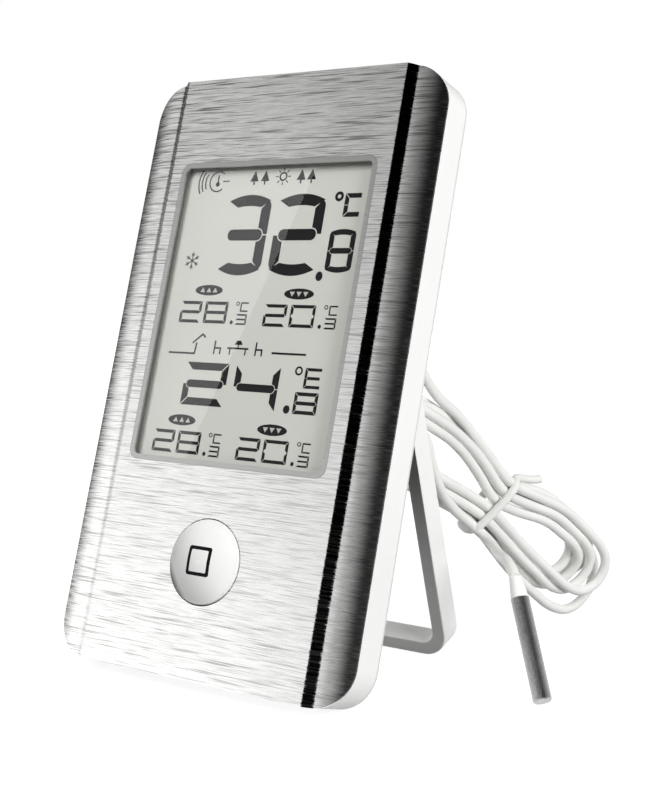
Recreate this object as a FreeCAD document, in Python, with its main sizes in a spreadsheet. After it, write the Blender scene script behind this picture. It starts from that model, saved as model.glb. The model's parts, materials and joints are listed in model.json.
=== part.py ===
"""Digital maximum minimum thermometer: a parametric assembly, in millimetres.

The case is drawn upright in its own frame: x to the right, y into the depth with 0 at the
front edge of the side wall, z up from the bottom edge. It is then leaned back until the
case and the opened stand both touch the ground.
"""
import FreeCAD, Part
import Sketcher
import math
import os

V = FreeCAD.Vector
doc = FreeCAD.newDocument("Thermometer")

DIMENSIONS = {
    # case
    "case_width": 85.0,
    "case_height": 145.2,
    "corner_radius": 9.5,
    "side_wall": 1.6,
    "front_wall": 1.0,
    "rear_wall": 1.3,
    "rear_edge_round": 0.9,
    "lip_wall": 1.0,
    "lip_depth": 1.4,
    # clearances
    "fit_gap": 0.1,
    "running_gap": 0.05,
    "inner_gap": 0.3,
    # raised middle of the front
    "panel_rise": 3.2,
    "panel_margin": 4.9,
    "slope_width": 2.0,
    "slope_foot_rise": 1.4,
    "band_radius": 26.0,
    "fascia_thickness": 0.5,
    # window and display
    "window_bottom": 49.9,
    "window_radius": 1.4,
    "rim_width": 1.3,
    "lens_overlap": 2.0,
    "lens_thickness": 0.8,
    "glass_thickness": 1.9,
    "glass_overlap": 1.5,
    "holder_wall": 1.4,
    "strip_height": 2.4,
    "strip_inset": 1.0,
    # main board and what sits on it
    "board_gap": 0.7,
    "board_above_screws": 5.0,
    "board_face": 3.0,
    "board_thickness": 1.2,
    "board_screw_side": 3.4,
    "board_screw_rise": 4.0,
    "board_screw_drop": 6.9,
    "board_post_radius": 2.0,
    "board_screw_radius": 0.7,
    "board_screw_head": 1.5,
    "board_screw_head_depth": 0.9,
    "chip_radius": 6.0,
    "chip_thickness": 1.3,
    "chip_place": 80.0,
    "crystal_radius": 1.1,
    "crystal_start": 12.0,
    "crystal_length": 6.0,
    "crystal_place": 70.0,
    "bead_radius": 1.3,
    "bead_below_vents": 0.9,
    "bead_place": 24.0,
    # button
    "button_height": 26.8,
    "button_radius": 9.75,
    "button_crown": 1.9,
    "button_flange": 1.0,
    "button_flange_depth": 0.8,
    "button_wall": 1.2,
    "button_gap": 0.3,
    "button_stem_end": 0.6,
    "plunger_radius": 1.7,
    "switch_half": 3.0,
    "switch_front": 0.9,
    # stand
    "stand_length": 87.3,
    "stand_foot_gap": 0.2,
    "stand_inset": 6.5,
    "stand_depth": 6.8,
    "stand_leg": 3.6,
    "stand_bar": 3.6,
    "stand_radius": 7.0,
    "stand_edge": 0.5,
    "stand_gap": 0.3,
    "stand_opening": 34.5,
    "pin_radius": 1.5,
    "pin_length": 2.2,
    "channel_wall": 1.0,
    "pin_wall": 2.5,
    # battery
    "cell_radius": 5.25,
    "cell_length": 44.5,
    "cell_below_top": 12.2,
    "cell_gap": 0.1,
    "cell_nub_radius": 1.9,
    "cell_nub_length": 1.2,
    "bay_wall": 0.9,
    "bay_end_room": 6.05,
    "bay_above_board": 0.95,
    "spring_radius": 3.4,
    "leaf_half": 4.0,
    "leaf_thickness": 0.4,
    "door_wall": 1.05,
    "door_reach": 1.25,
    "door_end_inset": 2.5,
    "door_gap": 0.2,
    "tab_width": 6.0,
    "tab_spacing": 30.0,
    # openings in the back
    "hanger_below_bay": 16.75,
    "hanger_radius": 3.5,
    "hanger_slot": 3.2,
    "hanger_rise": 7.0,
    "vent_width": 1.2,
    "vent_pitch": 2.8,
    "vent_half": 9.0,
    "vent_height": 22.0,
    # unit switch
    "slider_x": -15.8,
    "slider_below_bay": 17.25,
    "slider_size": 2.0,
    "slider_travel": 2.0,
    "slider_sink": 0.35,
    "slider_base": 2.0,
    # screws
    "screw_low_half": 22.0,
    "screw_above_bar": 2.2,
    "screw_high_inset": 7.0,
    "screw_below_top": 8.2,
    "boss_radius": 2.7,
    "boss_meet": 5.0,
    "screw_radius": 0.9,
    "screw_head": 1.9,
    "screw_head_depth": 1.0,
    "screw_head_sink": 0.3,
    # sensor lead and probe
    "grommet_x": 18.0,
    "grommet_below_bay": 26.75,
    "grommet_wall": 1.1,
    "grommet_flange": 2.3,
    "grommet_length": 7.0,
    "wire_radius": 0.55,
    "wire_spread": 0.7,
    "cord_diameter": 2.6,
    "hank_upper": 51.4,
    "hank_lower": 50.8,
    "hank_upper_radius": 11.0,
    "hank_lower_radius": 11.8,
    "hank_foot_rise": 2.9,
    "hank_waist": 7.8,
    "hank_waist_rise": 1.6,
    "hank_thickness": 9.2,
    "tie_width": 2.6,
    "tie_thickness": 1.6,
    "tie_tail": 6.0,
    "boot_length": 5.0,
    "boot_plug": 4.0,
    "probe_radius": 2.1,
    "probe_wall": 0.3,
    "probe_nose": 0.7,
    "probe_bead_radius": 1.1,
    "probe_wire_radius": 0.6,
}


class Size:
    """A size that carries its value and the formula that ties it to the spreadsheet."""

    def __init__(self, value, formula):
        self.value = value
        self.formula = formula

    def __add__(self, other):
        return Size(self.value + number(other), "(%s + %s)" % (self.formula, text(other)))

    def __radd__(self, other):
        return self + other

    def __sub__(self, other):
        return Size(self.value - number(other), "(%s - %s)" % (self.formula, text(other)))

    def __rsub__(self, other):
        return Size(number(other) - self.value, "(%s - %s)" % (text(other), self.formula))

    def __mul__(self, other):
        return Size(self.value * number(other), "(%s * %s)" % (self.formula, text(other)))

    def __rmul__(self, other):
        return self * other

    def __truediv__(self, other):
        return Size(self.value / number(other), "(%s / %s)" % (self.formula, text(other)))

    def __neg__(self):
        return Size(-self.value, "(0 - %s)" % self.formula)


def number(size):
    return size.value if isinstance(size, Size) else float(size)


def text(size):
    return size.formula if isinstance(size, Size) else repr(float(size))


def larger(one, other):
    """The larger of two sizes, tied to both."""
    return Size(max(one.value, other.value), "max(%s; %s)" % (one.formula, other.formula))


def make_sheet():
    """Write the driving dimensions to the spreadsheet and return them as sizes by name."""
    sheet = doc.addObject("Spreadsheet::Sheet", "Dimensions")
    sizes = {}
    for row, (alias, value) in enumerate(DIMENSIONS.items(), start=1):
        sheet.set("A%d" % row, alias)
        sheet.set("B%d" % row, str(value))
        sheet.setAlias("B%d" % row, alias)
        sizes[alias] = Size(value, "Dimensions." + alias)
    doc.recompute()
    return sizes


d = make_sheet()


# ---------------------------------------------------------------- building blocks

def bind(thing, path, size):
    thing.setExpression(path, text(size))


def draw(sketch, loop):
    """Draw a closed loop of corners (x, y) anticlockwise, every corner tied to its sizes.

    A corner's third value is the radius of the arc that leaves it, negative for a hollow arc.
    """
    count = len(loop)
    ends = []
    for index, corner in enumerate(loop):
        after = loop[(index + 1) % count]
        a = V(number(corner[0]), number(corner[1]), 0)
        b = V(number(after[0]), number(after[1]), 0)
        if len(corner) == 2:
            sketch.addGeometry(Part.LineSegment(a, b), False)
            ends.append((1, 2))
            continue
        radius = abs(number(corner[2]))
        hollow = number(corner[2]) < 0
        if hollow:
            a, b = b, a
        chord = b - a
        reach = math.sqrt(max(radius ** 2 - (chord.Length / 2) ** 2, 0.0))
        left = V(-chord.y, chord.x, 0).normalize()
        centre = (a + b) / 2 + left * reach
        start = math.atan2(a.y - centre.y, a.x - centre.x)
        stop = math.atan2(b.y - centre.y, b.x - centre.x)
        if stop < start:
            stop += 2 * math.pi
        circle = Part.Circle(centre, V(0, 0, 1), radius)
        sketch.addGeometry(Part.ArcOfCircle(circle, start, stop), False)
        ends.append((2, 1) if hollow else (1, 2))
    for index, corner in enumerate(loop):
        after = (index + 1) % count
        joint = (index, ends[index][1], after, ends[after][0])
        sketch.addConstraint(Sketcher.Constraint("Coincident", *joint))
        for kind, size, axis in (("DistanceX", corner[0], -2), ("DistanceY", corner[1], -1)):
            point = (index, ends[index][0])
            if not isinstance(size, Size) and size == 0:
                sketch.addConstraint(Sketcher.Constraint("PointOnObject", *point, axis))
                continue
            rule = Sketcher.Constraint(kind, -1, 1, *point, number(size))
            place = sketch.addConstraint(rule)
            bind(sketch, "Constraints[%d]" % place, size)
        if len(corner) == 3:
            size = corner[2] if number(corner[2]) > 0 else 0 - corner[2]
            rule = Sketcher.Constraint("Radius", index, number(size))
            place = sketch.addConstraint(rule)
            bind(sketch, "Constraints[%d]" % place, size)


def sketch_on(body, name, plane, offset):
    """Add a sketch on one of the body's planes, moved along that plane's world axis."""
    sketch = body.newObject("Sketcher::SketchObject", name)
    origin_plane = [f for f in body.Origin.OriginFeatures if f.Role == plane + "_Plane"][0]
    sketch.AttachmentSupport = [(origin_plane, "")]
    sketch.MapMode = "FlatFace"
    bind(sketch, "AttachmentOffset.Base.z", 0 - offset if plane == "XZ" else offset + 0)
    return sketch


def prism(name, plane, start, length, loop):
    """A body that extrudes a loop from start, by length, along the axis normal to the plane."""
    body = doc.addObject("PartDesign::Body", name)
    sketch = sketch_on(body, name + "_sketch", plane, as_size(start))
    draw(sketch, loop)
    pad = body.newObject("PartDesign::Pad", name + "_pad")
    pad.Profile = sketch
    pad.Reversed = plane == "XZ"
    bind(pad, "Length", length)
    sketch.Visibility = False
    return body


def as_size(size):
    return size if isinstance(size, Size) else Size(float(size), repr(float(size)))


def turned(name, loop):
    """A body that revolves a loop, drawn as (radius, y), about the y axis."""
    body = doc.addObject("PartDesign::Body", name)
    sketch = sketch_on(body, name + "_sketch", "XY", as_size(0))
    draw(sketch, loop)
    spin = body.newObject("PartDesign::Revolution", name + "_turn")
    spin.Profile = sketch
    spin.ReferenceAxis = (sketch, ["V_Axis"])
    spin.Angle = 360.0
    return body


def rounded_rect(left, right, low, high, radius):
    return [(left + radius, low), (right - radius, low, radius),
            (right, low + radius), (right, high - radius, radius),
            (right - radius, high), (left + radius, high, radius),
            (left, high - radius), (left, low + radius, radius)]


def rect(left, right, low, high):
    return [(left, low), (right, low), (right, high), (left, high)]


def box(name, x, y, z):
    """A block between the pairs of planes x, y and z."""
    block = doc.addObject("Part::Box", name)
    for side, pair in zip(("Length", "Width", "Height"), (x, y, z)):
        bind(block, side, as_size(pair[1]) - pair[0])
    for letter, pair in zip("xyz", (x, y, z)):
        bind(block, "Placement.Base." + letter, pair[0])
    return block


TURN_TO = {"x": FreeCAD.Rotation(V(0, 1, 0), 90),
           "y": FreeCAD.Rotation(V(1, 0, 0), -90),
           "z": FreeCAD.Rotation()}


def rod(name, axis, radius, span, centre):
    """A cylinder along an axis: span is its two ends on it, centre its place on the others."""
    cylinder = doc.addObject("Part::Cylinder", name)
    cylinder.Placement = FreeCAD.Placement(V(0, 0, 0), TURN_TO[axis])
    bind(cylinder, "Radius", radius)
    bind(cylinder, "Height", as_size(span[1]) - span[0])
    others = [letter for letter in "xyz" if letter != axis]
    bind(cylinder, "Placement.Base." + axis, span[0])
    for letter, place in zip(others, centre):
        bind(cylinder, "Placement.Base." + letter, place)
    return cylinder


def fuse(name, shapes):
    joined = doc.addObject("Part::MultiFuse", name)
    joined.Shapes = shapes
    joined.Refine = True
    return joined


def common(name, shapes):
    shared = doc.addObject("Part::MultiCommon", name)
    shared.Shapes = shapes
    return shared


def cut(name, base, tools):
    left = doc.addObject("Part::Cut", name)
    left.Base = base
    left.Tool = tools[0] if len(tools) == 1 else fuse(name + "_tools", tools)
    left.Refine = True
    return left


def group(name, shapes):
    """Separate solids of one kind, kept together in one node."""
    together = doc.addObject("Part::Compound", name)
    together.Links = shapes
    return together


def rounded(name, base, radius, wanted):
    """Round the edges of base that wanted picks by their middle point and their direction."""
    doc.recompute()
    fillet = doc.addObject("Part::Fillet", name)
    fillet.Base = base
    chosen = []
    for index, edge in enumerate(base.Shape.Edges, start=1):
        middle = edge.valueAt((edge.FirstParameter + edge.LastParameter) / 2)
        if wanted(middle, edge):
            chosen.append((index, number(radius), number(radius)))
    fillet.Edges = chosen
    return fillet


# ---------------------------------------------------------------- places in the case

# Depths, from the front of the raised panel to the back of the case.
PANEL_FRONT = 0 - d["panel_rise"]
SHELL_FRONT = PANEL_FRONT + d["fascia_thickness"]
SHELL_BACK = SHELL_FRONT + d["front_wall"]
LENS_BACK = SHELL_BACK + d["lens_thickness"]
GLASS_FRONT = LENS_BACK + d["running_gap"]
GLASS_BACK = GLASS_FRONT + d["glass_thickness"]
BOARD_BACK = d["board_face"] + d["board_thickness"]
# The case is deep enough for the cell and its door, and for the folded stand.
DEPTH_FOR_CELL = SHELL_BACK + d["cell_gap"] / 2 + 2 * d["cell_radius"] + d["door_wall"]
SIDE_DEPTH = d["fascia_thickness"] + d["front_wall"] + d["inner_gap"] + d["channel_wall"]
DEPTH_FOR_STAND = SIDE_DEPTH + d["stand_gap"] + d["stand_depth"]
REAR = larger(DEPTH_FOR_CELL, DEPTH_FOR_STAND)
PLATE_FRONT = REAR - d["rear_wall"]
CELL_DEPTH = REAR - d["door_wall"] - d["cell_radius"]
PIVOT_DEPTH = REAR - d["stand_depth"] / 2
CHANNEL_FLOOR = REAR - d["stand_depth"] - d["stand_gap"]
TROUGH_FLOOR = CHANNEL_FLOOR - d["channel_wall"]

# Widths, from the side of the case inwards.
HALF_WIDTH = d["case_width"] / 2
STAND_HALF = HALF_WIDTH - d["stand_inset"]
CHANNEL_HALF = STAND_HALF + d["stand_gap"]
CHANNEL_INNER_HALF = STAND_HALF - d["stand_leg"] - d["stand_gap"]
TROUGH_INNER_HALF = CHANNEL_INNER_HALF - d["channel_wall"]
BOARD_HALF = TROUGH_INNER_HALF - d["board_gap"]
GLASS_HALF = BOARD_HALF - d["holder_wall"] - d["fit_gap"]
WINDOW_HALF = GLASS_HALF - d["glass_overlap"]
PANEL_HALF = WINDOW_HALF + d["panel_margin"]
SLOPE_FOOT_HALF = PANEL_HALF + d["slope_width"]
BAY_HALF = d["cell_length"] / 2 + d["bay_end_room"]
DOOR_HALF = BAY_HALF - d["door_end_inset"]

# Heights, from the bottom edge and from the top of the case.
PIVOT_HEIGHT = d["stand_length"] + d["stand_foot_gap"]
BAR_TOP = d["stand_foot_gap"] + d["stand_bar"] + d["stand_gap"]
SCREW_LOW_HEIGHT = BAR_TOP + d["channel_wall"] + d["boss_radius"] + d["screw_above_bar"]
BOARD_BOTTOM = SCREW_LOW_HEIGHT + d["board_above_screws"]
CELL_HEIGHT = d["case_height"] - d["cell_below_top"]
BAY_REACH = d["cell_radius"] + d["cell_gap"]
BAY_LOW = CELL_HEIGHT - BAY_REACH - d["bay_wall"]
BAY_HIGH = CELL_HEIGHT + BAY_REACH + d["bay_wall"]
BOARD_TOP = BAY_LOW - d["bay_above_board"]
GLASS_TOP = BOARD_TOP - d["board_gap"] - d["holder_wall"] - d["fit_gap"]
WINDOW_TOP = GLASS_TOP - d["glass_overlap"]
DOOR_BOTTOM = CELL_HEIGHT - d["cell_radius"] - d["door_reach"]
DOOR_TOP = CELL_HEIGHT + d["cell_radius"] + d["door_reach"]
HANGER_HEIGHT = BAY_LOW - d["hanger_below_bay"]
SLIDER_HEIGHT = BAY_LOW - d["slider_below_bay"]
GROMMET_HEIGHT = BAY_LOW - d["grommet_below_bay"]

# How far a cutting piece runs past what it cuts.
PAST = 1.0
BEYOND = 5.0
# How far pieces that are joined into one run into each other.
BITE = 0.1
# How near a point on an edge lies to the surface that it is on.
NEAR = 1e-6

lean_parts = []


def node(thing, name, place=None):
    """Name a finished piece, and keep its place in the case for the final lean."""
    if thing.TypeId in ("Part::Box", "Part::Cylinder"):
        thing = group(name + "_piece", [thing])
    thing.Label = name
    lean_parts.append((thing, place or FreeCAD.Placement()))
    return thing


def window_loop(margin, radius):
    """The display window's outline, grown by a margin."""
    half = WINDOW_HALF + margin
    return rounded_rect(0 - half, half, d["window_bottom"] - margin, WINDOW_TOP + margin, radius)


def case_loop(inset):
    """The case's front outline, set in by an inset."""
    radius = d["corner_radius"] - inset
    half = HALF_WIDTH - inset
    return rounded_rect(0 - half, half, as_size(inset), d["case_height"] - inset, radius)


def behind_front(name, shift):
    """Everything behind the front's surface, moved back by a shift."""
    rise = d["panel_rise"] - shift
    foot = d["slope_foot_rise"] - shift
    loop = [(0 - HALF_WIDTH, as_size(shift), d["band_radius"]), (0 - SLOPE_FOOT_HALF, 0 - foot),
            (0 - PANEL_HALF, 0 - rise), (PANEL_HALF, 0 - rise),
            (SLOPE_FOOT_HALF, 0 - foot, d["band_radius"]), (HALF_WIDTH, as_size(shift)),
            (HALF_WIDTH, REAR + BEYOND), (0 - HALF_WIDTH, REAR + BEYOND)]
    return prism(name, "XY", -BEYOND, d["case_height"] + 2 * BEYOND, loop)


def case_slab(name, inset, front, back):
    return prism(name, "XZ", front, as_size(back) - front, case_loop(as_size(inset)))


def stand_channel(name):
    """The U-shaped space in the back that takes the folded stand, with its rounded ends."""
    low = d["stand_foot_gap"] - d["stand_gap"]
    radius = d["stand_radius"] + d["stand_gap"]
    inner_radius = d["stand_radius"] - d["stand_leg"] - d["stand_gap"]
    depth = REAR - CHANNEL_FLOOR + PAST
    outer = prism(name + "_outer", "XZ", CHANNEL_FLOOR, depth,
                  u_loop(CHANNEL_HALF, low, PIVOT_HEIGHT, radius))
    inner = prism(name + "_inner", "XZ", CHANNEL_FLOOR - PAST, depth + 2 * PAST,
                  u_loop(CHANNEL_INNER_HALF, BAR_TOP, PIVOT_HEIGHT + BEYOND, inner_radius))
    ring = cut(name + "_ring", outer, [inner])
    spans = ((CHANNEL_INNER_HALF, CHANNEL_HALF), (0 - CHANNEL_HALF, 0 - CHANNEL_INNER_HALF))
    ends = [rod("%s_end_%d" % (name, index), "x", d["stand_depth"] / 2 + d["stand_gap"],
                span, (PIVOT_DEPTH, PIVOT_HEIGHT)) for index, span in enumerate(spans)]
    return fuse(name, [ring] + ends)


def u_loop(half, low, high, radius):
    """A tall rectangle whose two lower corners are rounded."""
    return [(0 - half + radius, low), (half - radius, low, radius), (half, low + radius),
            (half, high), (0 - half, high), (0 - half, low + radius, radius)]


# ---------------------------------------------------------------- case pieces

def make_fascia():
    skin = cut("fascia_skin", behind_front("fascia_front", as_size(0)),
               [behind_front("fascia_back", d["fascia_thickness"])])
    slab = case_slab("fascia_slab", 0, PANEL_FRONT - PAST, as_size(BEYOND / 2))
    sheet = common("fascia_sheet", [skin, slab])
    margin = d["rim_width"]
    window = prism("fascia_window", "XZ", PANEL_FRONT - PAST, as_size(BEYOND / 2),
                   window_loop(margin, d["window_radius"] + margin))
    hole = rod("fascia_hole", "y", d["button_radius"] + d["button_gap"],
               (PANEL_FRONT - PAST, SHELL_BACK), (as_size(0), d["button_height"]))
    node(cut("fascia_plate", sheet, [window, hole]), "fascia_plate")


def make_window_rim():
    margin = d["rim_width"] - d["running_gap"]
    outer = prism("rim_outer", "XZ", PANEL_FRONT, d["fascia_thickness"],
                  window_loop(margin, d["window_radius"] + margin))
    inner = prism("rim_inner", "XZ", PANEL_FRONT - PAST, as_size(BEYOND / 2),
                  window_loop(as_size(0), d["window_radius"]))
    node(cut("window_rim", outer, [inner]), "window_rim")


def housing_screw_places():
    high_half = HALF_WIDTH - d["screw_high_inset"]
    high = d["case_height"] - d["screw_below_top"]
    return [(side * half, height) for half, height in ((d["screw_low_half"], SCREW_LOW_HEIGHT),
                                                       (high_half, high)) for side in (1, -1)]


def board_screw_places():
    half = BOARD_HALF - d["board_screw_side"]
    heights = (BOARD_BOTTOM + d["board_screw_rise"], d["window_bottom"] - d["board_screw_drop"])
    return [(side * half, height) for height in heights for side in (1, -1)]


def make_front_shell():
    front = behind_front("shell_front", d["fascia_thickness"])
    slab = case_slab("shell_slab", 0, PANEL_FRONT - PAST, PLATE_FRONT)
    solid = common("shell_solid", [front, slab])
    cavity = common("shell_cavity",
                    [behind_front("cavity_front", d["fascia_thickness"] + d["front_wall"]),
                     case_slab("cavity_slab", d["side_wall"], PANEL_FRONT, REAR)])
    posts = [rod("housing_post_%d" % index, "y", d["boss_radius"], (PANEL_FRONT, d["boss_meet"]), place)
             for index, place in enumerate(housing_screw_places())]
    posts += [rod("board_post_%d" % index, "y", d["board_post_radius"],
                  (PANEL_FRONT, d["board_face"]), place)
              for index, place in enumerate(board_screw_places())]
    bosses = common("shell_bosses", [fuse("shell_posts", posts), front])
    shell = fuse("shell_with_bosses", [cut("shell_hollow", solid, [cavity]), bosses])
    holes = [rod("housing_pilot_%d" % index, "y", d["screw_radius"],
                 (SHELL_BACK, d["boss_meet"] + PAST), place)
             for index, place in enumerate(housing_screw_places())]
    holes += [rod("board_pilot_%d" % index, "y", d["board_screw_radius"],
                  (SHELL_BACK, d["board_face"] + PAST), place)
              for index, place in enumerate(board_screw_places())]
    window = prism("shell_window", "XZ", PANEL_FRONT, as_size(BEYOND),
                   window_loop(as_size(0), d["window_radius"]))
    button = rod("shell_hole", "y", d["button_radius"] + d["button_gap"],
                 (PANEL_FRONT, d["board_face"]), (as_size(0), d["button_height"]))
    tools = holes + [window, button, stand_channel("shell_channel")]
    node(cut("front_shell", shell, tools), "front_shell")


def make_rear_cover():
    plate = rounded("plate_round", case_slab("plate", 0, PLATE_FRONT, REAR), d["rear_edge_round"],
                    lambda middle, edge: abs(middle.y - number(REAR)) < NEAR)
    lip_inset = d["side_wall"] + d["fit_gap"]
    lip = cut("lip", case_slab("lip_outer", lip_inset, PLATE_FRONT - d["lip_depth"], PLATE_FRONT),
              [case_slab("lip_inner", lip_inset + d["lip_wall"], 0, REAR)])
    bosses = [rod("cover_boss_%d" % index, "y", d["boss_radius"], (d["boss_meet"], PLATE_FRONT), place)
              for index, place in enumerate(housing_screw_places())]
    whole = fuse("cover_whole", [plate, lip, stand_trough(), battery_bay()] + bosses)
    holes = pin_holes() + cover_screw_holes() + hanger_hole() + vents() + back_openings()
    node(cut("rear_cover", whole, [stand_channel("cover_channel")] + holes), "rear_cover")


def stand_trough():
    """The walls round the stand's channel, thicker where the pins turn in them."""
    top = PIVOT_HEIGHT + d["stand_depth"] / 2 + d["stand_gap"] + d["channel_wall"]
    depth = PLATE_FRONT - TROUGH_FLOOR
    outer = prism("trough_outer", "XZ", TROUGH_FLOOR, depth,
                  u_loop(CHANNEL_HALF + d["pin_wall"], d["side_wall"] + d["running_gap"], top,
                         d["stand_radius"] + d["stand_gap"]))
    void = prism("trough_void", "XZ", TROUGH_FLOOR - PAST, depth + PAST,
                 u_loop(TROUGH_INNER_HALF, BAR_TOP + d["channel_wall"], top + PAST,
                        d["stand_radius"] - d["stand_leg"] - d["stand_gap"]))
    return cut("trough", outer, [void])


PIN_END_ROOM = 0.2


def pin_holes():
    start = CHANNEL_HALF - PAST
    end = STAND_HALF + d["pin_length"] + PIN_END_ROOM
    return [rod("pin_hole_%d" % index, "x", d["pin_radius"] + d["running_gap"], span,
                (PIVOT_DEPTH, PIVOT_HEIGHT))
            for index, span in enumerate(((start, end), (0 - end, 0 - start)))]


SCREW_ROOM = 0.2


def cover_screw_holes():
    holes = []
    for index, place in enumerate(housing_screw_places()):
        holes.append(rod("cover_clear_%d" % index, "y", d["screw_radius"] + SCREW_ROOM,
                         (d["boss_meet"] - PAST, REAR + PAST), place))
        holes.append(rod("cover_sink_%d" % index, "y", d["screw_head"] + SCREW_ROOM,
                         (REAR - d["screw_head_sink"] - d["screw_head_depth"], REAR + PAST), place))
    return holes


SLIDER_SIDE_ROOM = 0.25
SLIDER_END_ROOM = 0.3


def back_openings():
    """The openings for the battery door, the unit slider and the lead's grommet."""
    through = (PLATE_FRONT - PAST, REAR + PAST)
    half = DOOR_HALF + d["door_gap"]
    door = box("door_hole", (0 - half, half), (PLATE_FRONT, REAR + PAST),
               (DOOR_BOTTOM - d["door_gap"], DOOR_TOP + d["door_gap"]))
    slot_end = d["slider_x"] + d["slider_size"] + d["slider_travel"] + SLIDER_END_ROOM
    reach = d["slider_size"] / 2 + SLIDER_SIDE_ROOM
    slider = box("slider_hole", (d["slider_x"] - SLIDER_END_ROOM, slot_end), through,
                 (SLIDER_HEIGHT - reach, SLIDER_HEIGHT + reach))
    grommet = rod("grommet_hole", "y", grommet_neck() + d["fit_gap"], through,
                  (d["grommet_x"], GROMMET_HEIGHT))
    return [door, slider, grommet]


def grommet_neck():
    return d["cord_diameter"] / 2 + d["grommet_wall"]


TAB_SWING_DEPTH = 2.4


def battery_bay():
    """Four walls round the cell, notched where the door's tabs swing."""
    half = BAY_HALF + d["bay_wall"]
    outer = box("bay_outer", (0 - half, half), (SHELL_BACK + d["fit_gap"], PLATE_FRONT),
                (BAY_LOW, BAY_HIGH))
    inner = box("bay_inner", (0 - BAY_HALF, BAY_HALF), (SHELL_BACK - PAST, REAR),
                (CELL_HEIGHT - BAY_REACH, CELL_HEIGHT + BAY_REACH))
    notch = box("bay_notch", (0 - DOOR_HALF, DOOR_HALF), (PLATE_FRONT - TAB_SWING_DEPTH, REAR),
                (BAY_LOW - PAST, CELL_HEIGHT - BAY_REACH + PAST))
    return cut("battery_bay", outer, [inner, notch])


def hanger_hole():
    """The keyhole for a wall screw: a round entry with a narrow slot above it."""
    span = (PLATE_FRONT - PAST, REAR + PAST)
    top = HANGER_HEIGHT + d["hanger_rise"]
    slot = d["hanger_slot"] / 2
    return [rod("hanger_entry", "y", d["hanger_radius"], span, (as_size(0), HANGER_HEIGHT)),
            box("hanger_slot", (0 - slot, slot), span, (HANGER_HEIGHT, top)),
            rod("hanger_end", "y", slot, span, (as_size(0), top))]


VENT_COUNT = 5


def vents():
    """Slots that let room air reach the indoor sensor."""
    slots = []
    for index in range(VENT_COUNT):
        low = d["vent_height"] + index * d["vent_pitch"]
        slots.append(box("vent_%d" % index, (0 - d["vent_half"], d["vent_half"]),
                         (PLATE_FRONT - PAST, REAR + PAST), (low, low + d["vent_width"])))
    return slots


CROSS_DEPTH = 0.6
CROSS_REACH = 1.2
CROSS_HALF_WIDTH = 0.2
SHANK_END_ROOM = 1.5
BOARD_SHANK_END_ROOM = 1.0


def make_screws():
    back = REAR - d["screw_head_sink"]
    seat = back - d["screw_head_depth"]
    screws = []
    for index, place in enumerate(housing_screw_places()):
        shank = rod("shank_%d" % index, "y", d["screw_radius"],
                    (SHELL_BACK + SHANK_END_ROOM, seat + BITE), place)
        head = rod("head_%d" % index, "y", d["screw_head"], (seat, back), place)
        cross = driver_cross("cross_%d" % index, place, back - CROSS_DEPTH, REAR)
        whole = fuse("raw_screw_%d" % index, [shank, head])
        screws.append(cut("housing_screw_%d" % index, whole, [cross]))
    node(group("housing_screws", screws), "housing_screws")
    small = []
    for index, place in enumerate(board_screw_places()):
        shank = rod("small_shank_%d" % index, "y", d["board_screw_radius"],
                    (SHELL_BACK + BOARD_SHANK_END_ROOM, BOARD_BACK + BITE), place)
        head = rod("small_head_%d" % index, "y", d["board_screw_head"],
                   (BOARD_BACK, BOARD_BACK + d["board_screw_head_depth"]), place)
        small.append(fuse("board_screw_%d" % index, [shank, head]))
    node(group("board_screws", small), "board_screws")


def driver_cross(name, place, front, back):
    x, z = place
    reach = CROSS_REACH
    thin = CROSS_HALF_WIDTH
    bars = [box(name + "_a", (x - reach, x + reach), (front, back), (z - thin, z + thin)),
            box(name + "_b", (x - thin, x + thin), (front, back), (z - reach, z + reach))]
    return fuse(name, bars)


# ---------------------------------------------------------------- display and board

def make_display():
    lens = prism("lens", "XZ", SHELL_BACK, d["lens_thickness"],
                 window_loop(d["lens_overlap"], d["window_radius"]))
    node(lens, "display_lens")
    low = d["window_bottom"] - d["glass_overlap"]
    node(box("glass", (0 - GLASS_HALF, GLASS_HALF), (GLASS_FRONT, GLASS_BACK), (low, GLASS_TOP)),
         "lcd_glass")
    gap = d["fit_gap"]
    wall = gap + d["holder_wall"]
    outer = box("holder_outer", (0 - GLASS_HALF - wall, GLASS_HALF + wall),
                (LENS_BACK, d["board_face"]), (low - wall, GLASS_TOP + wall))
    inner = box("holder_inner", (0 - GLASS_HALF - gap, GLASS_HALF + gap),
                (LENS_BACK - PAST, d["board_face"] + PAST), (low - gap, GLASS_TOP + gap))
    node(cut("holder", outer, [inner]), "display_holder")
    inset = d["strip_inset"]
    height = d["strip_height"]
    strips = []
    for index, start in enumerate((low + inset, GLASS_TOP - inset - height)):
        strips.append(box("strip_%d" % index, (2 * inset - GLASS_HALF, GLASS_HALF - 2 * inset),
                          (GLASS_BACK, d["board_face"]), (start, start + height)))
    node(group("strips", strips), "contact_strips")


def make_board():
    board = prism("board_raw", "XZ", d["board_face"], d["board_thickness"],
                  rect(0 - BOARD_HALF, BOARD_HALF, BOARD_BOTTOM, BOARD_TOP))
    holes = [rod("board_hole_%d" % index, "y", d["board_screw_radius"] + d["fit_gap"],
                 (d["board_face"] - PAST, BOARD_BACK + PAST), place)
             for index, place in enumerate(board_screw_places())]
    node(cut("board", board, holes), "main_board")
    chip_back = BOARD_BACK + d["chip_thickness"]
    blob = rod("blob", "y", d["chip_radius"], (BOARD_BACK, chip_back), (as_size(0), d["chip_place"]))
    node(rounded("chip", blob, d["chip_thickness"] * 0.8,
                 lambda middle, edge: abs(middle.y - number(chip_back)) < NEAR and edge.Closed),
         "chip_cover")
    node(rod("can", "x", d["crystal_radius"],
             (d["crystal_start"], d["crystal_start"] + d["crystal_length"]),
             (BOARD_BACK + d["crystal_radius"], d["crystal_place"])), "crystal")
    make_indoor_sensor()


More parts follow.
